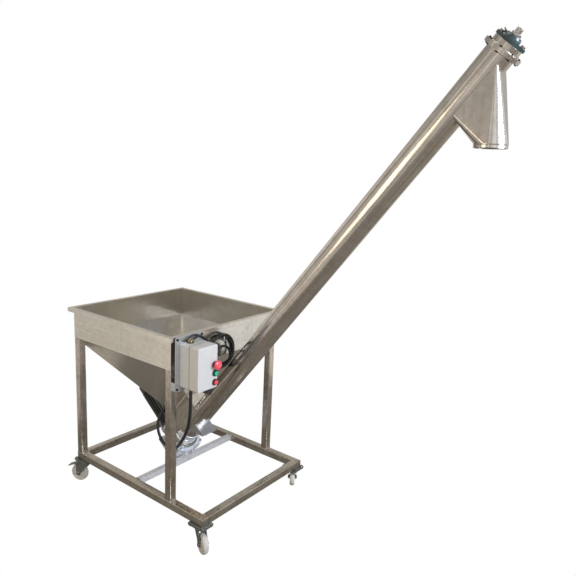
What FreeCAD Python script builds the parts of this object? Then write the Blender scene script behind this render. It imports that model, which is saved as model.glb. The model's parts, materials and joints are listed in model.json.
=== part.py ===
import FreeCAD, Part

import math
import os

from FreeCAD import Placement, Rotation, Vector

# Driving dimensions in millimetres. X runs from the hopper towards the spout, Z is up.
HOPPER = 786.0
SHEET = 3.0
RIM_Z = 1030.0
RIM_OUT = 24.0
RIM_DROP = 21.0
SKIRT = 168.0
BASE_LENGTH = 1014.0
BASE_TOP = 178.0
BAR = 40.0
BAR_CORNER = 4.0
TUBE_R = 57.0
TUBE_ANGLE = 51.17
TUBE_FOOT_X = 370.0
TUBE_TOP_S = 2669.0
SHAFT_R = 12.5
AUGER_PIPE_R = 19.0
FLIGHT_R = 49.0
FLIGHT_PITCH = 100.0
FLIGHT_COUNT = 24
RUN = 0.05
OUTLET_X = 2039.0
OUTLET_Z = 1925.0
OUTLET_R = 61.0
CASTER_H = 132.0
WHEEL_R = 50.0
WHEEL_WIDTH = 28.0
TRAIL = 35.0
WORM_CENTRES = 63.0
WHEEL_TEETH = 30
WORM_STARTS = 3
BOX_X = 821.0
BOX_DEPTH = 123.0
BOX_Y0 = -369.0
BOX_Y1 = -242.0
BOX_Z0 = 785.0
BOX_Z1 = 1000.0
BRACKET_SIDE = 27.0
BRACKET_BELOW = 22.0
BRACKET_ABOVE = 33.0
BUTTON_Y = -260.5
ESTOP_Z = 903.0
START_Z = 860.0
STOP_Z = 815.0

HALF = HOPPER / 2
SKIRT_Z = RIM_Z - SKIRT
RAIL_Z = BASE_TOP - BAR
BOX_LID_X = BOX_X + 63.0
BOX_FACE_X = BOX_X + BOX_DEPTH

# Stations along the screw, counted from where its axis meets the base frame's top plane.
PLATE_S = 8.0
GEAR_S0 = 18.0
GEAR_S1 = 138.0
GEAR_MID = (GEAR_S0 + GEAR_S1) / 2
COVER = 12.0
FLANGE_S = GEAR_S1
TUBE_S0 = FLANGE_S + 12.0
FLANGE_R = 77.0
BOOT_S0 = 238.0
BOOT_S1 = 416.0
BOOT_N = 119.0
BOOT_HALF = 58.5
SPOUT_S0 = 2404.0
SPOUT_S1 = 2640.0
SPOUT_HALF = 48.0
SPOUT_N = -30.0
COVER_S = TUBE_TOP_S
STUB_S1 = COVER_S + 31.0
BEARING_S1 = STUB_S1 + 29.0
SHAFT_END_S = 2756.0

SIN = math.sin(math.radians(TUBE_ANGLE))
COS = math.cos(math.radians(TUBE_ANGLE))
AXIS_FRAME = Placement(Vector(TUBE_FOOT_X, 0, BASE_TOP), Rotation(Vector(0, 1, 0), 90 - TUBE_ANGLE))
X, Y, Z = Vector(1, 0, 0), Vector(0, 1, 0), Vector(0, 0, 1)

parts = {}


def on_axis(shape):
    """Move a shape drawn along the screw (x away from the hopper, z up the tube) to its place."""
    moved = shape.copy()
    moved.Placement = AXIS_FRAME.multiply(moved.Placement)
    return moved


def axis_point(s, n, y=0.0):
    """Point at station s along the screw and height n above its axis."""
    return Vector(TUBE_FOOT_X + COS * s - SIN * n, y, BASE_TOP + SIN * s + COS * n)


def block(x0, x1, y0, y1, z0, z1):
    return Part.makeBox(x1 - x0, y1 - y0, z1 - z0, Vector(x0, y0, z0))


def rod(radius, start, direction, length):
    return Part.makeCylinder(radius, length, start, direction)


def ring(outer, inner, start, direction, length):
    return rod(outer, start, direction, length).cut(rod(inner, start, direction, length))


def prism(points, sweep):
    """Extrude a closed polygon."""
    return Part.Face(Part.makePolygon(points + points[:1])).extrude(sweep)


def prism_y(outline, y0, y1):
    """Extrude an outline of (x, z) points from y0 to y1."""
    return prism([Vector(x, y0, z) for x, z in outline], Vector(0, y1 - y0, 0))


def prism_z(outline, z0, z1):
    """Extrude an outline of (x, y) points from z0 to z1."""
    return prism([Vector(x, y, z0) for x, y in outline], Vector(0, 0, z1 - z0))


def turned(profile, start=Vector(0, 0, 0), direction=Z):
    """Turn a closed profile of (radius, height) points about an axis."""
    points = [Vector(r, 0, h) for r, h in profile]
    solid = Part.Face(Part.makePolygon(points + points[:1])).revolve(Vector(0, 0, 0), Z, 360)
    solid.Placement = Placement(start, Rotation(Z, direction))
    return solid


def rounded_edges(shape, radius, along):
    """Round every straight edge that runs along one axis."""
    picked = []
    for edge in shape.Edges:
        ends = [v.Point for v in edge.Vertexes]
        if len(ends) == 2:
            run = ends[1].sub(ends[0])
            if run.Length > 1 and abs(run.normalize().dot(along)) > 0.999:
                picked.append(edge)
    return shape.makeFillet(radius, picked)


def fused(shapes):
    whole = shapes[0].multiFuse(shapes[1:]) if len(shapes) > 1 else shapes[0]
    return whole.removeSplitter()


def polyhedron(corners, faces):
    """Closed solid from corner points and lists of corner numbers."""
    made = [Part.Face(Part.makePolygon([corners[i] for i in face + face[:1]])) for face in faces]
    return Part.Solid(Part.makeShell(made))


def twisted(outline, length, turn_deg, steps):
    """Ruled solid: an (x, y) outline carried up z while it turns about z."""
    wires = []
    for i in range(steps + 1):
        angle = math.radians(turn_deg * i / steps)
        ca, sa = math.cos(angle), math.sin(angle)
        points = [Vector(x * ca - y * sa, x * sa + y * ca, length * i / steps) for x, y in outline]
        wires.append(Part.makePolygon(points + points[:1]))
    return Part.makeLoft(wires, True, True)


def square_tube(along, length):
    """Hollow square bar from the origin, centred on its long axis."""
    outer = rounded_edges(block(0, length, -BAR / 2, BAR / 2, -BAR / 2, BAR / 2), BAR_CORNER, X)
    inner = block(-1, length + 1, SHEET - BAR / 2, BAR / 2 - SHEET, SHEET - BAR / 2, BAR / 2 - SHEET)
    bar = outer.cut(inner)
    bar.Placement = Placement(Vector(0, 0, 0), Rotation(X, along))
    return bar


# Hopper outline, shared by the cone and the legs cut to it
def cone_solid(inset):
    """Funnel from the square skirt to the slanted mouth of the boot, drawn in by inset."""
    top = HALF - inset
    low = BOOT_HALF - inset
    corners = [Vector(HALF - top, -top, SKIRT_Z), Vector(HALF + top, -top, SKIRT_Z),
               Vector(HALF + top, top, SKIRT_Z), Vector(HALF - top, top, SKIRT_Z),
               axis_point(BOOT_S0 + inset, BOOT_N, -low), axis_point(BOOT_S1 - inset, BOOT_N, -low),
               axis_point(BOOT_S1 - inset, BOOT_N, low), axis_point(BOOT_S0 + inset, BOOT_N, low)]
    faces = [[0, 1, 2, 3], [4, 7, 6, 5], [0, 3, 7, 4], [1, 5, 6, 2],
             [0, 4, 1], [1, 4, 5], [3, 2, 7], [2, 6, 7]]
    return polyhedron(corners, faces)


CONE_OUTSIDE = cone_solid(0)


# Base frame: mitred square tube with one angle across it
def base_frame():
    middle = RAIL_Z + BAR / 2
    plans = {
        "base_rail_near": [(0, -HALF), (BASE_LENGTH, -HALF),
                           (BASE_LENGTH - BAR, BAR - HALF), (BAR, BAR - HALF)],
        "base_rail_far": [(0, HALF), (BAR, HALF - BAR),
                          (BASE_LENGTH - BAR, HALF - BAR), (BASE_LENGTH, HALF)],
        "base_rail_rear": [(0, -HALF), (BAR, BAR - HALF), (BAR, HALF - BAR), (0, HALF)],
        "base_rail_front": [(BASE_LENGTH, -HALF), (BASE_LENGTH, HALF),
                            (BASE_LENGTH - BAR, HALF - BAR), (BASE_LENGTH - BAR, BAR - HALF)],
    }
    for name, plan in plans.items():
        if name.endswith(("near", "far")):
            side = -1 if name.endswith("near") else 1
            bar = square_tube(X, BASE_LENGTH)
            bar.translate(Vector(0, side * (HALF - BAR / 2), middle))
        else:
            bar = square_tube(Y, HOPPER)
            bar.translate(Vector(BAR / 2 if name.endswith("rear") else BASE_LENGTH - BAR / 2, -HALF, middle))
        parts[name] = bar.common(prism_z(plan, RAIL_Z - 1, BASE_TOP + 1))

    size, flange = 30.0, 3.0
    x0 = 474.0
    angle = [(x0, BASE_TOP), (x0 + size, BASE_TOP), (x0 + size, BASE_TOP - size),
             (x0 + size - flange, BASE_TOP - size), (x0 + size - flange, BASE_TOP - flange),
             (x0, BASE_TOP - flange)]
    bar = prism_y(angle, BAR - HALF, HALF - BAR)

    # Wedge seat for the gearbox foot, standing on the crossbar
    reach = 80.0
    s0 = (x0 - TUBE_FOOT_X - SIN * reach) / COS
    s1 = (x0 + size - TUBE_FOOT_X - SIN * reach) / COS
    low, high = axis_point(s0, -reach), axis_point(s1, -reach)
    outline = [(x0, BASE_TOP), (x0 + size, BASE_TOP), (high.x, high.z), (low.x, low.z)]
    seat = prism_y(outline, -30, 30)
    pocket = prism_y([(x0 + 5, BASE_TOP), (x0 + size + 1, BASE_TOP),
                      (x0 + size + 1, high.z - 8), (x0 + 5, low.z + 1)], -22, 22)
    parts["crossbar"] = fused([bar, seat.cut(pocket)])


def legs():
    for end, x in (("rear", BAR / 2), ("front", HOPPER - BAR / 2)):
        for side, y in (("near", BAR / 2 - HALF), ("far", HALF - BAR / 2)):
            bar = square_tube(Z, SKIRT_Z - BASE_TOP)
            bar.translate(Vector(x, y, BASE_TOP))
            parts["leg_%s_%s" % (end, side)] = bar.cut(CONE_OUTSIDE)


# Hopper, boot and clean-out
def hopper():
    outside = block(0, HOPPER, -HALF, HALF, SKIRT_Z, RIM_Z)
    flange = block(-RIM_OUT, HOPPER + RIM_OUT, -HALF - RIM_OUT, HALF + RIM_OUT, RIM_Z - RIM_DROP, RIM_Z)
    flange = rounded_edges(flange, 3.0, Z)
    drop = RIM_OUT - SHEET
    under = block(-drop, HOPPER + drop, -HALF - drop, HALF + drop, RIM_Z - RIM_DROP, RIM_Z - SHEET)
    well = block(SHEET, HOPPER - SHEET, SHEET - HALF, HALF - SHEET, SKIRT_Z, RIM_Z)
    parts["hopper_skirt"] = fused([outside, flange.cut(under)]).cut(well)
    parts["hopper_cone"] = CONE_OUTSIDE.cut(cone_solid(SHEET))


def feed_boot():
    """Box between the cone's mouth and the tube, with gusset wings down to the tube flange."""
    inner = BOOT_HALF - SHEET
    wing = [(0, BOOT_S1), (-BOOT_N, BOOT_S1), (-BOOT_N, BOOT_S0), (-42, TUBE_S0 + 16), (6, TUBE_S0 + 16)]
    sides = [prism_y(wing, -BOOT_HALF, -inner), prism_y(wing, inner, BOOT_HALF)]
    ends = [block(-BOOT_N, -20, -inner, inner, BOOT_S0, BOOT_S0 + SHEET),
            block(-BOOT_N, -20, -inner, inner, BOOT_S1 - SHEET, BOOT_S1)]
    boot = fused(sides + ends).cut(rod(TUBE_R, Vector(0, 0, TUBE_S0), Z, 400))
    parts["feed_boot"] = on_axis(boot)


SUMP_FRONT_S = 334.0
SUMP_N = 104.0
SUMP_Z = 367.0
SUMP_X0 = 603.0
SUMP_HALF = 51.0


def sump():
    """Clean-out box under the tube with a bolted cover."""
    foot = axis_point(SUMP_FRONT_S, -SUMP_N)
    head = axis_point(SUMP_FRONT_S, -20)
    back = axis_point(238, -20)
    lip = SUMP_Z + 6
    outline = [(SUMP_X0, lip), (foot.x, lip), (head.x, head.z), (back.x, back.z)]
    inset = [(SUMP_X0 + 5, lip - 1), (foot.x - SHEET / COS, lip - 1),
             (head.x - SHEET * COS, head.z - SHEET * SIN), (back.x + 6, back.z)]
    tube = on_axis(rod(TUBE_R, Vector(0, 0, TUBE_S0), Z, 400))
    shell = prism_y(outline, -SUMP_HALF, SUMP_HALF).cut(prism_y(inset, SHEET - SUMP_HALF, SUMP_HALF - SHEET))
    flange = block(SUMP_X0, foot.x, -SUMP_HALF, SUMP_HALF, SUMP_Z + 3, lip)
    window = block(SUMP_X0 + 10, foot.x - 10, 10 - SUMP_HALF, SUMP_HALF - 10, SUMP_Z, lip + 1)
    parts["cleanout_sump"] = fused([shell, flange.cut(window)]).cut(tube)
    cover = block(SUMP_X0, foot.x + 2, -SUMP_HALF - 2, SUMP_HALF + 2, SUMP_Z, SUMP_Z + 3)
    grip = turned([(0, 0), (5, 0), (5, 8), (10, 11), (11, 15), (9, 18), (0, 19)],
                  Vector((SUMP_X0 + foot.x) / 2, 0, SUMP_Z), Z * -1)
    parts["cleanout_cover"] = fused([rounded_edges(cover, 4, Z), grip])


# Tube, discharge spout and top end
def tube_and_ends():
    inner = TUBE_R - SHEET
    top = COVER_S - TUBE_S0
    shell = ring(TUBE_R, inner, Vector(0, 0, TUBE_S0), Z, top)
    low_ring = ring(FLANGE_R, TUBE_R - 1, Vector(0, 0, TUBE_S0), Z, 8)
    high_ring = ring(FLANGE_R - 1, TUBE_R - 1, Vector(0, 0, COVER_S - 8), Z, 8)
    inlet = block(-TUBE_R - 1, -20, -44, 44, BOOT_S0 + 8, BOOT_S1 - 8)
    outlet = block(20, TUBE_R + 1, -40, 40, SPOUT_S0 + 10, SPOUT_S1 - 36)
    drain = block(30, TUBE_R + 1, -38, 38, 290, SUMP_FRONT_S - 10)
    tube = fused([shell, low_ring, high_ring])
    for opening in (inlet, outlet, drain):
        tube = tube.cut(opening)
    parts["conveyor_tube"] = on_axis(tube)

    adapter = rod(FLANGE_R, Vector(0, 0, FLANGE_S), Z, TUBE_S0 - FLANGE_S)
    adapter = adapter.cut(rod(24, Vector(0, 0, FLANGE_S - 1), Z, 14))
    parts["lower_flange"] = on_axis(adapter)
    parts["shaft_seal"] = on_axis(turned([(SHAFT_R + RUN, FLANGE_S + 2), (24, FLANGE_S + 2),
                                          (24, TUBE_S0), (SHAFT_R + 4, TUBE_S0),
                                          (SHAFT_R + 4, TUBE_S0 - 3), (SHAFT_R + RUN, TUBE_S0 - 3)]))

    plate = 8.0
    cover = turned([(SHAFT_R + 0.5, STUB_S1 - plate), (inner, STUB_S1 - plate), (inner, COVER_S),
                    (FLANGE_R - 1, COVER_S), (FLANGE_R - 1, COVER_S + 8), (TUBE_R, COVER_S + 8),
                    (TUBE_R, STUB_S1), (SHAFT_R + 0.5, STUB_S1)])
    parts["end_cover"] = on_axis(cover)


def spout():
    """Square throat under the tube that changes to a round outlet looking straight down."""
    collar = 15.0

    def section(inset):
        half = SPOUT_HALF - inset
        r = 12.0 - inset
        s0, s1 = SPOUT_S0 + inset, SPOUT_S1 - inset
        corners = [(s0, -half), (s1, -half), (s1, half), (s0, half)]
        return slanted_loop(corners, r)

    def slanted_loop(corners, r):
        """Rounded rectangle in the slanted plane, from eight edges."""
        edges = []
        count = len(corners)
        for i in range(count):
            before, here, after = corners[i - 1], corners[i], corners[(i + 1) % count]
            start = toward(here, before, r)
            end = toward(here, after, r)
            middle = (here[0] - (r * 0.2929) * sign(here[0] - corners[(i + 2) % count][0]),
                      here[1] - (r * 0.2929) * sign(here[1]))
            edges.append(Part.Arc(lift(start), lift(middle), lift(end)).toShape())
            edges.append(Part.makeLine(lift(end), lift(toward(after, here, r))))
        return Part.Wire(edges)

    def toward(a, b, distance):
        run = math.hypot(b[0] - a[0], b[1] - a[1])
        return (a[0] + (b[0] - a[0]) * distance / run, a[1] + (b[1] - a[1]) * distance / run)

    def sign(value):
        return 1.0 if value > 0 else -1.0

    def lift(point):
        return axis_point(point[0], SPOUT_N, point[1])

    def mouth(radius, z):
        """Near-circle with a short straight between its quarter arcs."""
        flat = 2.0
        edges = []
        for i, (cx, cy) in enumerate(((-1, -1), (1, -1), (1, 1), (-1, 1))):
            a0 = 180 + 90 * i
            r = radius - flat
            centre = (OUTLET_X + cx * flat, cy * flat)
            at = [Vector(centre[0] + r * math.cos(math.radians(a)), centre[1] + r * math.sin(math.radians(a)), z)
                  for a in (a0, a0 + 45, a0 + 90)]
            edges.append(Part.Arc(*at).toShape())
            ahead = [at[2], at[2].add(Vector(*((2 * flat, 0), (0, 2 * flat), (-2 * flat, 0), (0, -2 * flat))[i], 0))]
            edges.append(Part.makeLine(*ahead))
        return Part.Wire(edges)

    neck = OUTLET_Z + collar
    outer = Part.makeLoft([section(0), mouth(OUTLET_R, neck)], True, True)
    inner = Part.makeLoft([section(SHEET), mouth(OUTLET_R - SHEET, neck)], True, True)
    tube = on_axis(rod(TUBE_R, Vector(0, 0, SPOUT_S0 - 60), Z, 340))
    throat = outer.cut(inner).cut(tube)
    lip = turned([(OUTLET_R - SHEET, 0), (OUTLET_R, 0), (OUTLET_R, 10), (OUTLET_R + 1.5, 11.5),
                  (OUTLET_R, 13), (OUTLET_R, collar), (OUTLET_R - SHEET, collar)], Vector(OUTLET_X, 0, OUTLET_Z))
    parts["discharge_spout"] = Part.makeCompound([throat, lip])


def top_bearing():
    """Two-bolt flange bearing on the stub tube."""
    reach, boss = 65.0, 33.0
    lobes = [rod(15, Vector(side * (reach - 15), 0, STUB_S1), Z, 12) for side in (-1, 1)]
    waist = [(-50, -14.9), (-20, -boss), (20, -boss), (50, -14.9),
             (50, 14.9), (20, boss), (-20, boss), (-50, 14.9)]
    base = fused(lobes + [prism_z(waist, STUB_S1, STUB_S1 + 12), rod(boss + 1, Vector(0, 0, STUB_S1), Z, 12)])
    dome = turned([(0, STUB_S1 + 12), (boss, STUB_S1 + 12), (boss - 1, STUB_S1 + 20), (boss - 5, BEARING_S1),
                   (0, BEARING_S1)])
    lug = rod(6, Vector(-boss + 4, 0, STUB_S1 + 16), Vector(-1, 0, 0.6), 10)
    bore = 22.0
    housing = fused([base, dome, lug]).cut(rod(bore, Vector(0, 0, STUB_S1 - 1), Z, 60))
    parts["bearing_housing"] = on_axis(housing)
    race = turned([(SHAFT_R, STUB_S1 + 2), (bore - RUN, STUB_S1 + 2), (bore - RUN, STUB_S1 + 24),
                   (18, STUB_S1 + 24), (18, BEARING_S1 + 8), (16.5, BEARING_S1 + 9.5), (SHAFT_R, BEARING_S1 + 9.5)])
    parts["bearing_inner_ring"] = on_axis(race)


# Screw
def screw():
    pipe0, pipe1 = TUBE_S0 + 12, COVER_S - 10
    shaft = turned([(0, GEAR_S0 + 6), (SHAFT_R - 1, GEAR_S0 + 6), (SHAFT_R, GEAR_S0 + 7), (SHAFT_R, pipe0),
                    (AUGER_PIPE_R, pipe0), (AUGER_PIPE_R, pipe1), (SHAFT_R, pipe1), (SHAFT_R, SHAFT_END_S - 2),
                    (SHAFT_R - 2, SHAFT_END_S), (0, SHAFT_END_S)])
    key = block(SHAFT_R - 2, SHAFT_R + 3.3, -4, 4, GEAR_MID - 25, GEAR_MID + 25)
    parts["screw_shaft"] = on_axis(shaft.fuse(key))

    steps = 16
    half = math.radians(180 * SHEET / FLIGHT_PITCH)
    root = AUGER_PIPE_R / math.cos(math.pi / steps)
    blade = [(root * math.cos(half), -root * math.sin(half)), (FLIGHT_R * math.cos(half), -FLIGHT_R * math.sin(half)),
             (FLIGHT_R * math.cos(half), FLIGHT_R * math.sin(half)), (root * math.cos(half), root * math.sin(half))]
    turn = twisted(blade, FLIGHT_PITCH, 360, steps)
    turns = []
    for i in range(FLIGHT_COUNT):
        one = turn.copy()
        one.translate(Vector(0, 0, pipe0 + 6 + i * FLIGHT_PITCH))
        turns.append(on_axis(one))
    parts["screw_flights"] = Part.makeCompound(turns)


# Worm drive
WORM_R = 13.0
ADDENDUM = 3.0
DEDENDUM = 3.6


def tooth_ring(count, pitch_r, tooth_deg, tip_deg, root_deg):
    """Outline of straight-flanked teeth about the origin, the first one centred on the x axis."""
    outline = []
    for i in range(count):
        middle = 360.0 * i / count
        for r, a in ((pitch_r - DEDENDUM, -root_deg), (pitch_r + ADDENDUM, -tip_deg),
                     (pitch_r + ADDENDUM, tip_deg), (pitch_r - DEDENDUM, root_deg)):
            angle = math.radians(middle + a * tooth_deg)
            outline.append((r * math.cos(angle), r * math.sin(angle)))
    return outline


def gearbox():
    wheel_pitch_r = WORM_CENTRES - WORM_R
    lead = 2 * math.pi * wheel_pitch_r / WHEEL_TEETH * WORM_STARTS
    face = 20.0
    lean = math.degrees(lead / (2 * math.pi * WORM_R) * face / wheel_pitch_r)
    teeth = twisted(tooth_ring(WHEEL_TEETH, wheel_pitch_r, 12.0, 0.10, 0.34), face, lean, 2)
    teeth.rotate(Vector(0, 0, 0), Z, 90 - lean / 2)
    teeth.translate(Vector(0, 0, GEAR_MID - face / 2))
    hub = rod(22, Vector(0, 0, GEAR_S0 + 6), Z, 108)
    bore = rod(SHAFT_R, Vector(0, 0, GEAR_S0), Z, 120)
    keyway = block(SHAFT_R - 2, SHAFT_R + 3.3, -4, 4, GEAR_MID - 25, GEAR_MID + 25)
    parts["worm_wheel"] = on_axis(teeth.fuse(hub).cut(bore).cut(keyway))

    # Worm and motor shaft run across the screw, towards the hopper
    start = Vector(0, WORM_CENTRES, GEAR_MID)
    threads = twisted(tooth_ring(WORM_STARTS, WORM_R, 120.0, 0.13, 0.33), 60, 360 * 60 / lead, 26)
    threads.rotate(Vector(0, 0, 0), Z, 90 - 360 * 30 / lead)
    threads.Placement = Placement(Vector(30, WORM_CENTRES, GEAR_MID), Rotation(Z, X * -1)).multiply(
        threads.Placement)
    shaft = turned([(0, -66), (8, -66), (8, 110), (11, 112), (11, 150), (34, 152), (34, 340),
                    (11, 342), (11, 374), (8, 376), (8, 410), (0, 410)], start, X * -1)
    parts["worm_shaft"] = on_axis(shaft.fuse(threads))

    body0, body1 = GEAR_S0 + COVER, GEAR_S1 - COVER
    case = rounded_edges(block(-74, 74, -74, 104, body0, body1), 22, Z)
    foot = block(70, 80, -35, 35, GEAR_MID - 14, GEAR_MID + 38)
    barrel = rod(38, Vector(74, WORM_CENTRES, GEAR_MID), X * -1, 182)
    flange = turned([(0, 96), (60, 96), (96, 104), (100, 108), (100, 120), (0, 120)], start, X * -1)
    ribs = [block(-50, 50, y - 2.5, y + 2.5, body0 - 3, body1 + 3) for y in (-70, 92)]
    hollow = [rod(56, Vector(0, 0, GEAR_MID - 18), Z, 36), rod(30, Vector(0, 0, body0 - 4), Z, 104),
              rod(19, Vector(60, WORM_CENTRES, GEAR_MID), X * -1, 150),
              rod(8 + RUN, Vector(67, WORM_CENTRES, GEAR_MID), X * -1, 20),
              rod(40, Vector(-104, WORM_CENTRES, GEAR_MID), X * -1, 17),
              rod(15, Vector(-80, WORM_CENTRES, GEAR_MID), X * -1, 30)]
    housing = fused([case, foot, barrel, flange] + ribs)
    for cavity in hollow:
        housing = housing.cut(cavity)
    parts["gearbox_housing"] = on_axis(housing)
    covers = []
    for s0, closed in ((GEAR_S0, GEAR_S0), (body1, None)):
        disc = rod(66, Vector(0, 0, s0), Z, COVER).cut(rod(22 + RUN, Vector(0, 0, s0 - 1), Z, COVER + 2))
        if closed is not None:
            disc = disc.fuse(rod(40, Vector(0, 0, closed), Z, 4))
        covers.append(on_axis(disc))
    parts["gearbox_side_covers"] = Part.makeCompound(covers)
    plate = rounded_edges(block(-88, 72, -62, 100, PLATE_S, GEAR_S0), 8, Z)
    parts["drive_mount_plate"] = on_axis(plate)


MOTOR_N0 = 120.0
MOTOR_N1 = 376.0
FAN_DEPTH = 54.0
FAN_N1 = MOTOR_N1 + FAN_DEPTH
MOTOR_R = 74.0
FIN_R = 84.0
TERMINAL_Y = 21.0
TERMINAL_N = 185.0
TERMINAL_S = GEAR_MID + 136.0


def motor():
    start = Vector(0, WORM_CENTRES, GEAR_MID)
    back = X * -1

    def shifted(n):
        return Vector(-n, WORM_CENTRES, GEAR_MID)

    fins = 28
    outline = []
    for i in range(fins):
        middle = 360.0 * i / fins
        for r, a in ((MOTOR_R, -3.6), (FIN_R, -1.1), (FIN_R, 1.1), (MOTOR_R, 3.6)):
            angle = math.radians(middle + a)
            outline.append((r * math.cos(angle), r * math.sin(angle)))
    core = prism_z(outline, 0, MOTOR_N1 - MOTOR_N0 - 32)
    core.Placement = Placement(shifted(MOTOR_N0 + 16), Rotation(Z, back))
    seat = block(-250, -150, WORM_CENTRES - 32, WORM_CENTRES + 32, GEAR_MID + 60, GEAR_MID + 86)
    body = fused([core, seat]).cut(rod(62, shifted(MOTOR_N0), back, 300))
    stator = ring(62, 36, shifted(170), back, 150)
    parts["motor_housing"] = on_axis(body)
    parts["motor_stator"] = on_axis(stator)
    front = turned([(11 + RUN, 120), (100, 120), (100, 128), (82, 132), (78, 136), (62, 136), (58, 134), (24, 130),
                    (11 + RUN, 130)], start, back)
    rear = turned([(11 + RUN, MOTOR_N1 - 16), (58, MOTOR_N1 - 18), (62, MOTOR_N1 - 16), (76, MOTOR_N1 - 16),
                   (76, MOTOR_N1 - 10), (70, MOTOR_N1), (11 + RUN, MOTOR_N1 - 4)], start, back)
    parts["motor_end_shields"] = Part.makeCompound([on_axis(front), on_axis(rear)])
    cowl = turned([(70, MOTOR_N1), (76, MOTOR_N1 - 10), (82, MOTOR_N1 - 10), (82, FAN_N1 - 12), (74, FAN_N1),
                   (0, FAN_N1), (0, FAN_N1 - 2), (73, FAN_N1 - 2), (80, FAN_N1 - 13), (80, MOTOR_N1 - 6),
                   (76, MOTOR_N1 - 6), (71, MOTOR_N1 + 2)], start, back)
    slots = []
    for radius, count in ((20, 6), (38, 10), (56, 16)):
        for i in range(count):
            angle = 2 * math.pi * i / count
            at = Vector(-FAN_N1 - 1, WORM_CENTRES + radius * math.cos(angle), GEAR_MID + radius * math.sin(angle))
            slots.append(rod(5, at, X, 5))
    parts["fan_cover"] = on_axis(cowl.cut(Part.makeCompound(slots)))
    fan0, fan1 = MOTOR_N1 + 8, FAN_N1 - 22
    blades = [turned([(8, fan0), (16, fan0), (16, fan1), (8, fan1)], start, back)]
    for i in range(7):
        blade = block(2 - fan1, -2 - fan0, WORM_CENTRES + 14, WORM_CENTRES + 66, GEAR_MID - 1.25, GEAR_MID + 1.25)
        blade.rotate(start, X, 360.0 * i / 7)
        blades.append(blade)
    parts["motor_fan"] = on_axis(fused(blades))
    case = rounded_edges(block(-246, -154, TERMINAL_Y, WORM_CENTRES + 42, GEAR_MID + 86, TERMINAL_S), 6, Z)
    entry = gland(Vector(-TERMINAL_N, TERMINAL_Y, TERMINAL_S - 25), Y * -1, MOTOR_CABLE_R)
    parts["terminal_box"] = on_axis(case.fuse(entry))


# Casters
CASTER_AT = {"front_near": (978.0, -369.5, -24.0), "front_far": (978.0, 369.5, 125.5),
             "rear_near": (36.0, -369.5, 204.0), "rear_far": (36.0, 369.5, 150.0)}
BRAKED = ("rear_near", "rear_far")
PLATE_X, PLATE_Y = 102.0, 77.0
PIN_R = 6.0
HEAD_Z = 121.0
PEDAL_PIVOT = (38.0, 107.0)


def wheel_shape():
    half = WHEEL_WIDTH / 2
    profile = [(PIN_R + RUN, -18 + RUN), (10, -18 + RUN), (12, -15), (34, -9), (38, -half + 1), (WHEEL_R - 7, -half),
               (WHEEL_R - 2, -half + 4), (WHEEL_R, -half + 10), (WHEEL_R, half - 10), (WHEEL_R - 2, half - 4),
               (WHEEL_R - 7, half), (38, half - 1), (34, 9), (12, 15), (10, 18 - RUN), (PIN_R + RUN, 18 - RUN)]
    return turned(profile, Vector(TRAIL, 0, WHEEL_R), Y)


def fork_shape(braked):
    head_x = 48.0 if braked else 28.0
    outline = [(-28, 118), (head_x, 118), (head_x, 100 if braked else 108), (TRAIL + 14, WHEEL_R + 4),
               (TRAIL + 9, WHEEL_R - 12), (TRAIL - 9, WHEEL_R - 12), (TRAIL - 14, WHEEL_R + 2), (-28, 106)]
    cheeks = [prism_y(outline, 18, 21), prism_y(outline, -21, -18)]
    crown = block(-28, 28, -21, 21, 115, 118)
    head = turned([(0, 118), (30, 118), (32, 119.5), (30, HEAD_Z - RUN), (0, HEAD_Z - RUN)])
    fork = fused(cheeks + [crown, head])
    fork = fork.cut(rod(PIN_R + RUN, Vector(0, 0, 110), Z, 20))
    if braked:
        fork = fork.cut(rod(4 + RUN, Vector(PEDAL_PIVOT[0], -30, PEDAL_PIVOT[1]), Y, 60))
    axle = rod(PIN_R, Vector(TRAIL, -27, WHEEL_R), Y, 54)
    ends = [turned([(0, 0), (10, 0), (10, 5), (8.5, 6), (0, 6)], Vector(TRAIL, side * 21, WHEEL_R), Y * side)
            for side in (-1, 1)]
    return fused([fork, axle] + ends)


def pedal_shape():
    px, pz = PEDAL_PIVOT
    arm = [(px - 5, pz - 4), (px + 5, pz - 6), (px + 34, pz - 12), (px + 62, pz - 24), (px + 64, pz - 20),
           (px + 35, pz - 7), (px + 6, pz + 6), (px - 5, pz + 6)]
    return fused([prism_y(arm, -17, 17), rod(4, Vector(px, -24, pz), Y, 48)])


def casters():
    mounts, tops = [], []
    for name, (x, y, heading) in CASTER_AT.items():
        def placed(shape):
            moved = shape.copy()
            moved.rotate(Vector(0, 0, 0), Z, heading)
            moved.translate(Vector(x, y, 0))
            return moved

        box = (x - PLATE_X / 2, x + PLATE_X / 2, y - PLATE_Y / 2, y + PLATE_Y / 2)
        mounts.append(rounded_edges(block(*box, CASTER_H, RAIL_Z), 5, Z))
        plate = rounded_edges(block(*box, CASTER_H - 4, CASTER_H), 8, Z)
        race = turned([(0, HEAD_Z), (30, HEAD_Z), (34, HEAD_Z + 3), (34, CASTER_H - 4), (0, CASTER_H - 4)],
                      Vector(x, y, 0))
        pin = turned([(0, 106), (9, 106), (10, 107), (10, 115 - RUN), (PIN_R, 115 - RUN), (PIN_R, HEAD_Z),
                      (0, HEAD_Z)], Vector(x, y, 0))
        tops.append(fused([plate, race, pin]))
        parts["caster_fork_" + name] = placed(fork_shape(name in BRAKED))
        parts["caster_wheel_" + name] = placed(wheel_shape())
        if name in BRAKED:
            parts["brake_pedal_" + name] = placed(pedal_shape())
    parts["caster_mount_plates"] = Part.makeCompound(mounts)
    parts["caster_top_plates"] = Part.makeCompound(tops)


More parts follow.
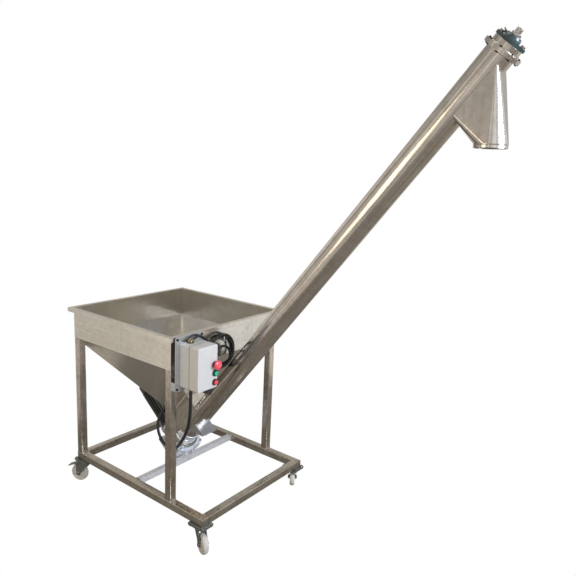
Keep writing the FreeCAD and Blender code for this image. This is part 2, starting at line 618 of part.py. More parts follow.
# Control box
def control_box():
    plate_x = BOX_X - SHEET
    plate = rounded_edges(block(plate_x, BOX_X, BOX_Y0 - BRACKET_SIDE, BOX_Y1 + BRACKET_SIDE,
                                BOX_Z0 - BRACKET_BELOW, BOX_Z1 + BRACKET_ABOVE), 12, X)
    low_tab = block(HOPPER, plate_x, -HALF, BAR - HALF, BOX_Z0 - 19, BOX_Z0 + 23)
    high_tab = block(HOPPER + RIM_OUT, plate_x, -380, -230, RIM_Z - 18, RIM_Z - 2)
    parts["box_bracket"] = fused([plate, low_tab, high_tab])

    wall = 3.0
    body = rounded_edges(block(BOX_X, BOX_LID_X, BOX_Y0, BOX_Y1, BOX_Z0, BOX_Z1), 10, X)
    room = rounded_edges(block(BOX_X + wall, BOX_LID_X + 1, BOX_Y0 + wall, BOX_Y1 - wall,
                               BOX_Z0 + wall, BOX_Z1 - wall), 7, X)
    body = body.cut(room)
    lid = rounded_edges(block(BOX_LID_X, BOX_FACE_X, BOX_Y0, BOX_Y1, BOX_Z0, BOX_Z1), 10, X)
    front = [edge for edge in lid.Edges if min(v.X for v in edge.Vertexes) > BOX_FACE_X - 0.1]
    lid = lid.makeFillet(5, front)
    room = rounded_edges(block(BOX_LID_X - 1, BOX_FACE_X - wall, BOX_Y0 + wall, BOX_Y1 - wall,
                               BOX_Z0 + wall, BOX_Z1 - wall), 7, X)
    lid = lid.cut(room)

    barrel, cap, stem, head = 11.25, 16.0, 9.0, 11.2
    bezels = []
    for z in (ESTOP_Z, START_Z, STOP_Z):
        start = Vector(BOX_FACE_X, BUTTON_Y, z)
        lid = lid.cut(rod(barrel, Vector(BOX_FACE_X - 10, BUTTON_Y, z), X, 12))
        profile = [(stem, -24), (barrel, -24), (barrel, 0), (cap, 0), (cap, 6), (cap - 1.5, 8), (head + 0.2, 8),
                   (head + 0.2, 0.5), (stem, 0.5)]
        bezels.append(turned(profile, start, X))
    parts["control_box_body"] = body
    parts["control_box_lid"] = lid
    parts["button_bezels"] = Part.makeCompound(bezels)
    for name, z in (("start_button", START_Z), ("stop_button", STOP_Z)):
        profile = [(0, -18), (stem - RUN, -18), (stem - RUN, 5), (head, 5), (head, 12), (head - 1.2, 13.4), (0, 13.8)]
        parts[name] = turned(profile, Vector(BOX_FACE_X, BUTTON_Y, z), X)
    mushroom = [(0, -18), (stem - RUN, -18), (stem - RUN, 13), (16, 13), (22, 16), (22.5, 21), (20.5, 26),
                (14, 29.5), (0, 31)]
    parts["estop_button"] = turned(mushroom, Vector(BOX_FACE_X, BUTTON_Y, ESTOP_Z), X)


# Cables
LEAD_GLAND = Vector(840.0, -322.0, 1004.0)
LEAD_WAY = Vector(-0.09, 0.93, 0.355)
LOW_GLAND = Vector(852.0, -326.0, BOX_Z0)
LEAD_R = 6.75
MOTOR_CABLE_R = 8.0
LOOP_C = Vector(787.5, -60.0, 896.5)
LOOP_LONG = 104.0
LOOP_SHORT = 79.0
LOOP_LEAN = -38.0
LOOP_WIDTH = 13.5
LOOP_SHRINK = 0.82
BUNDLE_C = Vector(789.0, -72.0, 867.0)
BUNDLE_R = 46.0
BUNDLE_WIDTH = 40.0
MOTOR_CABLE_ROUTE = [(852, -326, 766), (852, -326, 690), (838, -318, 600), (780, -285, 505), (690, -235, 410),
                     (590, -175, 320), (500, -125, 262), (430, -105, 248), (370, -97, 270), (336, -92, 320),
                     (333, -86, 378), (339, -52, 428), (344.3, 2, 441.3)]
LEAD_ROUTE = [(838.51, -306.65, 1009.86), (836, -280, 1020), (833, -250, 1017), (831, -220, 999), (823, -192, 977),
              (818, -166, 965), (815.5, -140, 965), (814.5, -117, 974)]
HOOK_Y = -80.4
HOOK_Z = 958.5
TAIL_ROUTE = [(836, -98, 822), (838, -124, 822), (839, -148, 813), (838, -166, 795), (837, -174, 773)]


def routed(points, radius):
    """Cable along straight runs joined by tangent arcs."""
    at = [Vector(*p) for p in points]
    edges = []
    last = at[0]
    for i in range(1, len(at) - 1):
        before, after = at[i].sub(at[i - 1]), at[i + 1].sub(at[i])
        half = before.getAngle(after) / 2
        trim = 0.45 * min(before.Length, after.Length)
        start = at[i].sub(before.normalize() * trim)
        end = at[i].add(after.normalize() * trim)
        bend = trim / math.tan(half)
        inward = start.add(end).multiply(0.5).sub(at[i])
        centre = at[i].add(inward.normalize() * (bend / math.cos(half)))
        middle = centre.add(at[i].sub(centre).normalize() * bend)
        print("bend radius", round(bend, 1), "of cable radius", radius)
        edges.append(Part.makeLine(last, start))
        edges.append(Part.Arc(start, middle, end).toShape())
        last = end
    edges.append(Part.makeLine(last, at[-1]))
    path = Part.Wire(edges)
    profile = Part.Wire(Part.makeCircle(radius, at[0], at[1].sub(at[0])))
    tube = path.makePipeShell([profile], True, True)
    print("volume ratio", round(tube.Volume / (math.pi * radius ** 2 * path.Length), 4), "length", round(path.Length))
    return tube


def gland(start, direction, cable_r):
    """Screwed cable gland with a hexagon foot and a domed nut."""
    foot = turned([(cable_r, 0), (cable_r + 7, 0), (cable_r + 7, 6), (cable_r, 6)], start, direction)
    nut = turned([(cable_r, 6), (cable_r + 6, 6), (cable_r + 6, 14), (cable_r + 3, 19), (cable_r, 19)],
                 start, direction)
    return fused([foot, nut])


def oval(long_r, short_r):
    """Face of a leaning ellipse around the big loop's middle."""
    lean = math.radians(LOOP_LEAN)
    far = LOOP_C.add(Vector(0, math.cos(lean), math.sin(lean)) * long_r)
    near = LOOP_C.add(Vector(0, -math.sin(lean), math.cos(lean)) * short_r)
    return Part.Face(Part.Wire(Part.Ellipse(far, near, LOOP_C).toShape()))


def cables():
    ball = Part.makeSphere(12, LEAD_GLAND).common(rod(20, Vector(LEAD_GLAND.x, LEAD_GLAND.y, BOX_Z1), Z, 30))
    nut = turned([(0, 0), (LEAD_R + 5, 0), (LEAD_R + 5, 12), (LEAD_R + 2.5, 16.5), (0, 16.5)], LEAD_GLAND, LEAD_WAY)
    nut = nut.cut(block(800, 880, -380, -280, BOX_Z1 - 30, BOX_Z1))
    parts["cable_glands"] = Part.makeCompound([fused([ball, nut]), gland(LOW_GLAND, Z * -1, MOTOR_CABLE_R)])
    parts["motor_cable"] = routed(MOTOR_CABLE_ROUTE, MOTOR_CABLE_R)
    parts["supply_lead"] = routed(LEAD_ROUTE, LEAD_R)
    parts["supply_tail"] = routed(TAIL_ROUTE, LEAD_R)
    band = oval(LOOP_LONG + LEAD_R, LOOP_SHORT + LEAD_R)
    band = band.cut(oval(LOOP_LONG * LOOP_SHRINK - LEAD_R, LOOP_SHORT * LOOP_SHRINK - LEAD_R))
    bundle = ring(BUNDLE_R + LEAD_R - 1, BUNDLE_R - LEAD_R, BUNDLE_C, X, BUNDLE_WIDTH)
    parts["supply_coil"] = fused([band.extrude(X * LOOP_WIDTH), bundle])
    end, before = Vector(*TAIL_ROUTE[-1]), Vector(*TAIL_ROUTE[-2])
    plug = turned([(0, 0), (9, 0), (11, 10), (11, 18), (17, 26), (19, 34), (19, 50), (22, 51), (22, 70), (0, 70)],
                  end, end.sub(before))
    parts["supply_plug"] = plug
    rest = Vector(HOPPER, HOOK_Y, HOOK_Z)
    hook = fused([rod(4, rest, X, 44),
                  turned([(0, 0), (4, 0), (4, 20), (3, 22), (0, 22)], rest.add(Vector(44, 0, -4))),
                  rod(14, rest, X, 1.3)])
    parts["cable_hook"] = hook


def centred():
    """Put the origin under the middle of everything but the cables."""
    cords = ("motor_cable", "supply_lead", "supply_tail", "supply_coil", "supply_plug")
    boxes = [shape.optimalBoundingBox(False, False) for name, shape in parts.items() if name not in cords]
    shift = Vector(-(min(b.XMin for b in boxes) + max(b.XMax for b in boxes)) / 2,
                   -(min(b.YMin for b in boxes) + max(b.YMax for b in boxes)) / 2,
                   -min(b.ZMin for b in boxes))
    for shape in parts.values():
        shape.translate(shift)
    return shift


for make in (base_frame, legs, hopper, feed_boot, sump, tube_and_ends, spout, top_bearing, screw, gearbox, motor,
             casters, control_box, cables):
    make()
offset = centred()
print("origin moved by", [round(v, 3) for v in offset], "nodes", len(parts))

os.makedirs("parts", exist_ok=True)
for name, shape in parts.items():
    shape.exportStep("parts/%s.step" % name)
    if not shape.isValid() or shape.Volume <= 0:
        print("CHECK", name, shape.isValid(), shape.Volume)
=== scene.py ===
import json
import logging
import math
from dataclasses import dataclass
from enum import Enum
from typing import Dict, List, Optional, Sequence, Tuple

import bmesh
import bpy
from mathutils import Matrix, Vector


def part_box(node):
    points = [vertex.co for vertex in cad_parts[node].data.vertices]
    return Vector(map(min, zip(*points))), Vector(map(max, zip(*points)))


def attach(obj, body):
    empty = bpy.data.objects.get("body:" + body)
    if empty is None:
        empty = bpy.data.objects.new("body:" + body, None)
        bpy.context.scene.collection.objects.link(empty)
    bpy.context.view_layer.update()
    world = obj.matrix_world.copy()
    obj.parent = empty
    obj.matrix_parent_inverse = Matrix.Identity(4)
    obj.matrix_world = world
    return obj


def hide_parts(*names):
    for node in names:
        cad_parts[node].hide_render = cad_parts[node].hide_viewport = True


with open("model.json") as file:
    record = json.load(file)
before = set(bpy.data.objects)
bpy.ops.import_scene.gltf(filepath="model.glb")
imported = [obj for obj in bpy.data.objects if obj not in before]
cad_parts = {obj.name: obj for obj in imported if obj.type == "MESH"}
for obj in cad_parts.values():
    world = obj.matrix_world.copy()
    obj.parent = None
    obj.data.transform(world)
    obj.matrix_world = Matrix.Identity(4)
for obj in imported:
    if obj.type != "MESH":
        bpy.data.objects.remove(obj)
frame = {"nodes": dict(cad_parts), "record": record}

LOG = logging.getLogger("screw_conveyor")

MM = 0.001
TUBE_ANGLE = math.radians(51.17)
AXIS_S = Vector((math.cos(TUBE_ANGLE), 0.0, math.sin(TUBE_ANGLE)))
AXIS_N = Vector((-math.sin(TUBE_ANGLE), 0.0, math.cos(TUBE_ANGLE)))
Y_AXIS = Vector((0.0, 1.0, 0.0))
TUBE_FOOT_X = 370.0
BASE_TOP = 178.0
SUPPLY_DIAMETER = 0.0135
MOTOR_CABLE_DIAMETER = 0.016
SHARP_ANGLE = math.radians(35)
CORNER_ANGLE = math.radians(28)
SEAM = 1e-5


class Pattern(Enum):
    """How a surface was made, which decides its fine texture."""

    BRUSHED = "brushed"
    ROLLED = "rolled"
    PLATED = "plated"
    CAST = "cast"
    POWDER = "powder"
    MOULDED = "moulded"
    EXTRUDED = "extruded"


@dataclass(frozen=True)
class Finish:
    """One real material with its process.

    Attributes:
        name: material and process in words.
        colour: sRGB hex of the clean surface.
        soil: sRGB hex of dirt, heat tint or wear.
        metallic: 1 for bare metal.
        roughness: mean roughness.
        pattern: the process.
        grain_mm: size of the texture's features in millimetres.
        bump_mm: depth of the texture in millimetres.
        soiling: how much of the soil colour shows, 0 to 1.
        coat: clear or gloss coat weight.
    """

    name: str
    colour: str
    soil: str
    metallic: float
    roughness: float
    pattern: Pattern
    grain_mm: float
    bump_mm: float
    soiling: float = 0.25
    coat: float = 0.0


FINISHES: Dict[str, Finish] = {
    "frame_steel": Finish(
        "stainless box section, brushed", "#D2CBBF", "#776B5D", 1.0, 0.24, Pattern.BRUSHED, 0.5, 0.008, 0.4),
    "hopper_steel": Finish(
        "stainless sheet, satin rolled", "#E6E2D9", "#B3AA9B", 1.0, 0.22, Pattern.BRUSHED, 0.7, 0.008, 0.25),
    "tube_steel": Finish(
        "stainless tube, ground", "#CDC7BF", "#7F7367", 1.0, 0.18, Pattern.ROLLED, 0.5, 0.005, 0.25),
    "galvanised_steel": Finish(
        "angle section, hot-dip galvanised", "#E4E5E6", "#A3A09C",
        0.35, 0.45, Pattern.PLATED, 4.0, 0.02, 0.3),
    "bright_steel": Finish(
        "steel bar, machined", "#C6C4BF", "#7A746B", 1.0, 0.26, Pattern.ROLLED, 0.4, 0.01, 0.2),
    "flight_steel": Finish(
        "carbon steel flight, worn bright", "#A29F99", "#5C534A", 1.0, 0.33, Pattern.ROLLED, 0.8, 0.03, 0.4),
    "zinc_steel": Finish(
        "pressed steel, zinc plated", "#9CA2A3", "#5F6462", 1.0, 0.36, Pattern.PLATED, 3.0, 0.02, 0.35),
    "bracket_steel": Finish(
        "stainless plate, satin", "#D5DAE0", "#8A9097", 1.0, 0.28, Pattern.BRUSHED, 0.6, 0.01, 0.2),
    "wheel_nylon": Finish(
        "cast nylon", "#DCD8D0", "#8E857A", 0.0, 0.45, Pattern.MOULDED, 1.5, 0.03, 0.4),
    "pedal_steel": Finish(
        "pressed steel, zinc plated", "#8B908F", "#4E5250", 1.0, 0.38, Pattern.PLATED, 3.0, 0.02, 0.4),
    "seal_rubber": Finish(
        "nitrile rubber, moulded", "#141414", "#2A2723", 0.0, 0.6, Pattern.MOULDED, 1.0, 0.02),
    "bearing_green": Finish(
        "cast iron, green enamel", "#30484A", "#142827", 0.0, 0.30, Pattern.CAST, 1.6, 0.06, 0.4, 0.5),
    "wheel_bronze": Finish(
        "tin bronze, hobbed", "#B98A4A", "#6E4C22", 1.0, 0.35, Pattern.ROLLED, 0.5, 0.02),
    "gearbox_alloy": Finish(
        "die-cast aluminium, silver paint", "#E6ECF3", "#939DA9",
        0.35, 0.34, Pattern.CAST, 1.2, 0.05, 0.3, 0.3),
    "plate_paint": Finish(
        "steel plate, blue-grey enamel", "#74838D", "#47525A", 0.0, 0.42, Pattern.POWDER, 0.8, 0.02, 0.35),
    "motor_paint": Finish(
        "cast aluminium, dark grey-green enamel", "#343A36", "#1F2320",
        0.0, 0.42, Pattern.CAST, 1.2, 0.06, 0.4, 0.2),
    "stator_iron": Finish(
        "stacked electrical steel", "#6B6A68", "#3A3735", 1.0, 0.5, Pattern.ROLLED, 0.5, 0.03),
    "fan_plastic": Finish(
        "glass-filled nylon, moulded", "#1B1B1B", "#35322E", 0.0, 0.55, Pattern.MOULDED, 1.0, 0.02),
    "box_paint": Finish(
        "steel box, light powder coat", "#CDCCC8", "#A39B8F", 0.0, 0.40, Pattern.POWDER, 1.1, 0.02, 0.12),
    "bezel_plastic": Finish(
        "black glass-filled plastic, moulded", "#15191E", "#2D3136",
        0.0, 0.35, Pattern.MOULDED, 0.8, 0.015, 0.15, 0.2),
    "green_plastic": Finish(
        "green polycarbonate, moulded", "#18B98C", "#0F7A5E",
        0.0, 0.28, Pattern.MOULDED, 0.8, 0.01, 0.1, 0.4),
    "red_plastic": Finish(
        "red polyamide, moulded", "#EE4A60", "#A82838", 0.0, 0.28, Pattern.MOULDED, 0.8, 0.01, 0.1, 0.4),
    "gland_brass": Finish(
        "brass, turned, tarnished", "#8F8458", "#4F482E", 1.0, 0.36, Pattern.ROLLED, 0.4, 0.015),
    "cable_rubber": Finish(
        "neoprene cable sheath, extruded", "#17171B", "#33312F", 0.0, 0.48, Pattern.EXTRUDED, 2.0, 0.02, 0.3),
    "plug_plastic": Finish(
        "polyamide plug, moulded", "#1A1A1C", "#35322E", 0.0, 0.42, Pattern.MOULDED, 1.0, 0.02, 0.2),
    "weld_bead": Finish(
        "stainless weld bead, brushed", "#D2C8B8", "#8A7863", 1.0, 0.30, Pattern.PLATED, 2.2, 0.10, 0.3),
    "fastener": Finish(
        "stainless screw, A2", "#A8A6A1", "#5B564F", 1.0, 0.30, Pattern.ROLLED, 0.4, 0.01, 0.25),
    "dark_fastener": Finish(
        "steel screw, blackened", "#2E2C2A", "#55504A", 1.0, 0.42, Pattern.PLATED, 1.0, 0.02, 0.3),
    "gasket": Finish(
        "EPDM gasket, extruded", "#1B1C1D", "#3A3936", 0.0, 0.7, Pattern.EXTRUDED, 1.0, 0.02),
    "mark_gold": Finish(
        "printed arrow ring, gold", "#D9B24A", "#A8842E", 0.0, 0.4, Pattern.MOULDED, 1.0, 0.005),
}


def linear(hex_colour: str) -> Tuple[float, float, float, float]:
    """Change an sRGB hex colour to linear light.

    Args:
        hex_colour: "#RRGGBB".

    Returns:
        Linear red, green, blue and alpha.
    """
    channels = [int(hex_colour[i:i + 2], 16) / 255 for i in (1, 3, 5)]
    made = [c / 12.92 if c <= 0.04045 else ((c + 0.055) / 1.055) ** 2.4 for c in channels]
    return (made[0], made[1], made[2], 1.0)


class Nodes:
    """Adds shader nodes to one tree and wires their inputs."""

    def __init__(self, tree: bpy.types.NodeTree) -> None:
        self.tree = tree

    def add(self, kind: str, settings: Optional[Dict[str, object]] = None,
            **inputs: object) -> bpy.types.Node:
        """Add one node.

        Args:
            kind: the node's type name.
            settings: plain properties of the node.
            **inputs: socket values or sockets to link; an underscore stands for a space, and i2 for socket 2.

        Returns:
            The new node.
        """
        node = self.tree.nodes.new(kind)
        for name, value in (settings or {}).items():
            setattr(node, name, value)
        for name, value in inputs.items():
            key = int(name[1:]) if name[0] == "i" and name[1:].isdigit() else name.replace("_", " ")
            socket = node.inputs[key]
            if isinstance(value, bpy.types.NodeSocket):
                self.tree.links.new(value, socket)
            else:
                socket.default_value = value
        return node


class MaterialLibrary:
    """Builds each finish once as a procedural material."""

    # Grain is drawn out along its run by one over the last number
    STRETCH = {Pattern.BRUSHED: (1.0, 1.0, 0.025), Pattern.ROLLED: (1.0, 1.0, 0.05),
               Pattern.EXTRUDED: (1.0, 1.0, 0.2)}
    BARE_METAL = 0.9
    # Scales in features per metre: stains a hand wide, specks of 25 mm, drawn-out streaks, slow dents
    CLOUD = 9.0
    SPECK = 40.0
    STREAK = 55.0
    DENT = 7.0
    STAIN_RANGE = (0.18, 0.42)
    STREAK_RANGE = (0.45, 0.65)
    STREAK_SHARE = 0.5
    ROUGHNESS_BELOW = 0.05
    ROUGHNESS_ABOVE = 0.06
    LEAST_ROUGHNESS = 0.04
    EDGE_RADIUS = 0.0008
    DENT_DEPTH = 0.006
    DENT_STRENGTH = 0.25
    GRAIN_STRENGTH = 0.12
    ANISOTROPY = 0.45

    def __init__(self) -> None:
        self.made: Dict[str, bpy.types.Material] = {}

    def get(self, key: str, along: Vector = Vector((0, 0, 1))) -> bpy.types.Material:
        """Give the material for a finish.

        Args:
            key: name in FINISHES.
            along: direction in which the grain runs.

        Returns:
            The material.
        """
        label = "%s %s" % (key, "".join("%+.1f" % v for v in along))
        if label not in self.made:
            self.made[label] = self._build(key, FINISHES[key], along)
        return self.made[label]

    def _build(self, key: str, finish: Finish, along: Vector) -> bpy.types.Material:
        material = bpy.data.materials.new(finish.name)
        material.use_nodes = True
        tree = material.node_tree
        tree.nodes.clear()
        nodes = Nodes(tree)
        coord = nodes.add("ShaderNodeTexCoord").outputs["Object"]
        turn = Vector((0, 0, 1)).rotation_difference(along).inverted().to_euler()
        turned = nodes.add("ShaderNodeMapping", Vector=coord, Rotation=turn)
        stretch = self.STRETCH.get(finish.pattern, (1.0, 1.0, 1.0))
        stretched = nodes.add("ShaderNodeMapping", Vector=turned.outputs[0], Scale=stretch)
        grain = nodes.add("ShaderNodeTexNoise", Vector=stretched.outputs[0],
                          Scale=1.0 / (finish.grain_mm * MM), Detail=3.0, Roughness=0.6)
        tone = nodes.add("ShaderNodeMix", {"data_type": "RGBA"},
                         Factor=self._stain(nodes, finish, coord, turned.outputs[0], stretched.outputs[0]),
                         i6=linear(finish.colour), i7=linear(finish.soil))
        rough = nodes.add("ShaderNodeMapRange", Value=grain.outputs[0],
                          To_Min=max(self.LEAST_ROUGHNESS, finish.roughness - self.ROUGHNESS_BELOW),
                          To_Max=finish.roughness + self.ROUGHNESS_ABOVE)
        edge = nodes.add("ShaderNodeBevel", {"samples": 3}, Radius=self.EDGE_RADIUS)
        if finish.metallic > self.BARE_METAL:
            wave = nodes.add("ShaderNodeTexNoise", Vector=coord, Scale=self.DENT, Detail=1.0)
            edge = nodes.add("ShaderNodeBump", Height=wave.outputs[0], Strength=self.DENT_STRENGTH,
                             Distance=self.DENT_DEPTH, Normal=edge.outputs[0])
        bump = nodes.add("ShaderNodeBump", Height=grain.outputs[0], Strength=self.GRAIN_STRENGTH,
                         Distance=finish.bump_mm * MM, Normal=edge.outputs[0])
        shader = nodes.add("ShaderNodeBsdfPrincipled", Base_Color=tone.outputs[2], Metallic=finish.metallic,
                           Roughness=rough.outputs[0], Normal=bump.outputs[0], Coat_Weight=finish.coat)
        if finish.pattern in (Pattern.BRUSHED, Pattern.ROLLED) and finish.metallic > self.BARE_METAL:
            shader.inputs["Anisotropic"].default_value = self.ANISOTROPY
        nodes.add("ShaderNodeOutputMaterial", Surface=shader.outputs[0])
        return material

    def _stain(self, nodes: Nodes, finish: Finish, coord: bpy.types.NodeSocket, turned: bpy.types.NodeSocket,
               stretched: bpy.types.NodeSocket) -> bpy.types.NodeSocket:
        """Share of the soil colour: clouds broken by specks, with streaks along the grain of bare metal."""
        cloud = nodes.add("ShaderNodeTexNoise", Vector=turned, Scale=self.CLOUD, Detail=6.0, Roughness=0.62)
        speck = nodes.add("ShaderNodeTexNoise", Vector=coord, Scale=self.SPECK, Detail=3.0, Roughness=0.5)
        dirt = nodes.add("ShaderNodeMath", {"operation": "MULTIPLY"}, i0=cloud.outputs[0],
                         i1=speck.outputs[0])
        ramp = nodes.add("ShaderNodeMapRange", Value=dirt.outputs[0], From_Min=self.STAIN_RANGE[0],
                         From_Max=self.STAIN_RANGE[1], To_Max=finish.soiling)
        if finish.metallic <= self.BARE_METAL or finish.pattern not in self.STRETCH:
            return ramp.outputs[0]
        streak = nodes.add("ShaderNodeTexNoise", Vector=stretched, Scale=self.STREAK, Detail=2.0)
        band = nodes.add("ShaderNodeMapRange", Value=streak.outputs[0], From_Min=self.STREAK_RANGE[0],
                         From_Max=self.STREAK_RANGE[1], To_Max=finish.soiling * self.STREAK_SHARE)
        return nodes.add("ShaderNodeMath", {"operation": "ADD", "use_clamp": True}, i0=ramp.outputs[0],
                         i1=band.outputs[0]).outputs[0]


MATERIALS = MaterialLibrary()


@dataclass(frozen=True)
class Datum:
    """The machine's own axes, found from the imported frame.

    Attributes:
        origin: where the base frame's rear end, its middle plane and the floor meet.
    """

    origin: Vector

    @classmethod
    def from_frame(cls) -> "Datum":
        """Find the origin from the rear rail of the base frame."""
        low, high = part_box("base_rail_rear")
        return cls(Vector((low.x, (low.y + high.y) / 2, 0.0)))

    def at(self, x: float, y: float, z: float) -> Vector:
        """Give the place of a point stated in millimetres from the datum."""
        return self.origin + Vector((x, y, z)) * MM

    def along(self, s: float, n: float, y: float = 0.0) -> Vector:
        """Give the place at station s along the screw, n above its axis and y aside, in millimetres."""
        foot = self.at(TUBE_FOOT_X, y, BASE_TOP)
        return foot + AXIS_S * (s * MM) + AXIS_N * (n * MM)


DATUM = Datum.from_frame()


def mesh_object(name: str, mesh: bpy.types.Mesh, body: str, key: str, along: Vector = Vector((0, 0, 1)),
                matrix: Matrix = Matrix.Identity(4)) -> bpy.types.Object:
    """Put a mesh in the scene on a body with a finish.

    Args:
        name: the object's name; spaces become underscores.
        mesh: its mesh, which keeps any material that it has.
        body: the body it rides on.
        key: name in FINISHES.
        along: direction in which the grain runs.
        matrix: its place.

    Returns:
        The object.
    """
    obj = bpy.data.objects.new(name.replace(" ", "_"), mesh)
    bpy.context.scene.collection.objects.link(obj)
    obj.matrix_world = matrix
    if not mesh.materials:
        mesh.materials.append(MATERIALS.get(key, along))
    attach(obj, body)
    return obj


def facing(place: Vector, direction: Vector, spin: float = 0.0) -> Matrix:
    """Give the matrix that carries local z to a direction at a place.

    Args:
        place: where the local origin goes.
        direction: where local z points.
        spin: turn about local z in radians.

    Returns:
        The matrix.
    """
    turn = Vector((0, 0, 1)).rotation_difference(direction).to_matrix().to_4x4()
    return Matrix.Translation(place) @ turn @ Matrix.Rotation(spin, 4, "Z")


def circle_verts(build: bmesh.types.BMesh, radius: float, height: float,
                 sides: int) -> List[bmesh.types.BMVert]:
    """Add the corners of a regular polygon about z, with radius and height in millimetres."""
    return [build.verts.new((radius * MM * math.cos(2 * math.pi * i / sides),
                             radius * MM * math.sin(2 * math.pi * i / sides), height * MM))
            for i in range(sides)]


def lathe_mesh(name: str, profile: Sequence[Tuple[float, float]], sides: int = 40) -> bpy.types.Mesh:
    """Make a mesh turned about z.

    Args:
        name: the mesh's name.
        profile: (radius, height) points in millimetres.
        sides: facets of the round.

    Returns:
        The mesh, with its sharp edges kept.
    """
    mesh = bpy.data.meshes.new(name)
    build = bmesh.new()
    rings = []
    for radius, height in profile:
        if radius <= 0:
            rings.append([build.verts.new((0, 0, height * MM))])
        else:
            rings.append(circle_verts(build, radius, height, sides))
    for lower, upper in zip(rings, rings[1:]):
        for i in range(sides):
            j = (i + 1) % sides
            corner = [lower[i % len(lower)], lower[j % len(lower)],
                      upper[j % len(upper)], upper[i % len(upper)]]
            unique = list(dict.fromkeys(corner))
            if len(unique) > 2:
                build.faces.new(unique)
    bmesh.ops.recalc_face_normals(build, faces=build.faces)
    for face in build.faces:
        face.smooth = True
    build.to_mesh(mesh)
    build.free()
    mesh.set_sharp_from_angle(angle=SHARP_ANGLE)
    return mesh


class Fasteners:
    """Hexagon screws with washers and socket heads, one mesh for each size.

    Lengths are shares of the thread's size.
    """

    WASHER_RADIUS = 1.05
    WASHER_TOP = 0.16
    ACROSS_FLATS = 1.6
    # Whether each ring is the chamfered crown, and its height
    RINGS = ((False, 0.16), (False, 0.70), (True, 0.80))
    CROWN = 0.98
    SIDES = 24
    # Radius and height of a socket head with its recess
    SOCKET = ((0, 0), (0.75, 0), (0.75, 0.85), (0.63, 1), (0.45, 1), (0.42, 0.5), (0, 0.5))

    def __init__(self) -> None:
        self.meshes: Dict[Tuple[str, float], bpy.types.Mesh] = {}

    def hexagon(self, size: float) -> bpy.types.Mesh:
        """Make a hexagon head on a washer, with a chamfered crown.

        Args:
            size: the thread in millimetres.

        Returns:
            The mesh.
        """
        mesh = bpy.data.meshes.new("hexagon head M%g" % size)
        build = bmesh.new()
        loops = [circle_verts(build, size * self.WASHER_RADIUS, height * size, self.SIDES)
                 for height in (0.0, self.WASHER_TOP)]
        flat_radius = size * self.ACROSS_FLATS / 2
        corner = flat_radius / math.cos(math.pi / 6)
        for crown, height in self.RINGS:
            ring = []
            for i in range(self.SIDES):
                angle = 2 * math.pi * i / self.SIDES
                outline = flat_radius / math.cos((angle % (math.pi / 3)) - math.pi / 6)
                radius = min(outline, flat_radius * self.CROWN if crown else corner)
                ring.append(build.verts.new((radius * MM * math.cos(angle), radius * MM * math.sin(angle),
                                             height * size * MM)))
            loops.append(ring)
        for lower, upper in zip(loops, loops[1:]):
            for i in range(self.SIDES):
                j = (i + 1) % self.SIDES
                build.faces.new((lower[i], lower[j], upper[j], upper[i]))
        build.faces.new(loops[-1])
        build.faces.new(list(reversed(loops[0])))
        build.to_mesh(mesh)
        build.free()
        return mesh

    def socket(self, size: float) -> bpy.types.Mesh:
        """Make a socket head cap with its recess.

        Args:
            size: the thread in millimetres.

        Returns:
            The mesh.
        """
        profile = [(radius * size, height * size) for radius, height in self.SOCKET]
        return lathe_mesh("socket head M%g" % size, profile, self.SIDES)

    def put(self, kind: str, size: float, place: Vector, direction: Vector, body: str = "frame",
            key: str = "fastener", spin: float = 0.0) -> bpy.types.Object:
        """Place one fastener head.

        Args:
            kind: "hex" or "socket".
            size: the thread in millimetres.
            place: where the head's underside is.
            direction: where the head points.
            body: the body it rides on.
            key: name in FINISHES.
            spin: turn about its axis in radians.

        Returns:
            The object.
        """
        if (kind, size) not in self.meshes:
            self.meshes[kind, size] = self.hexagon(size) if kind == "hex" else self.socket(size)
        return mesh_object("%s_M%g" % (kind, size), self.meshes[kind, size], body, key,
                           matrix=facing(place, direction, spin))

    def circle(self, kind: str, size: float, centre: Vector, direction: Vector, across: Vector, radius: float,
               count: int, phase: float = 0.0, key: str = "fastener") -> None:
        """Place a ring of heads about an axis.

        Args:
            kind: "hex" or "socket".
            size: the thread in millimetres.
            centre: middle of the ring.
            direction: its axis and where the heads point.
            across: direction of the first head when phase is 0.
            radius: radius of the ring in millimetres.
            count: how many heads.
            phase: angle of the first head in radians.
            key: name in FINISHES.
        """
        for i in range(count):
            angle = phase + 2 * math.pi * i / count
            offset = across * math.cos(angle) + direction.cross(across) * math.sin(angle)
            self.put(kind, size, centre + offset * (radius * MM), direction, key=key, spin=angle * 3)


FASTENERS = Fasteners()


def bead(name: str, points: Sequence[Vector], radius_mm: float, closed: bool = False) -> bpy.types.Object:
    """Lay a weld bead along a line of points.

    Args:
        name: the object's name; spaces become underscores.
        points: its line in metres.
        radius_mm: radius of the bead in millimetres.
        closed: whether its end meets its start.

    Returns:
        The object.
    """
    curve = bpy.data.curves.new(name, "CURVE")
    curve.dimensions = "3D"
    curve.bevel_depth = radius_mm * MM
    curve.bevel_resolution = 2
    spline = curve.splines.new("POLY")
    spline.points.add(len(points) - 1)
    for point, place in zip(spline.points, points):
        point.co = (*place, 1.0)
        point.radius = 1.0
    spline.use_cyclic_u = closed
    obj = bpy.data.objects.new(name.replace(" ", "_"), curve)
    bpy.context.scene.collection.objects.link(obj)
    curve.materials.append(MATERIALS.get("weld_bead"))
    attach(obj, "frame")
    return obj


def rippled(start: Vector, end: Vector, step_mm: float = 3.0) -> List[Vector]:
    """Give points between two places with a small regular wander.

    Args:
        start: first place.
        end: last place.
        step_mm: spacing in millimetres.

    Returns:
        The points.
    """
    run = end - start
    count = max(2, int(run.length / (step_mm * MM)))
    side = run.normalized().cross(Vector((0.3, 0.9, 0.31))).normalized()
    return [start + run * (i / count) + side * (0.00035 * math.sin(i * 2.4)) for i in range(count + 1)]


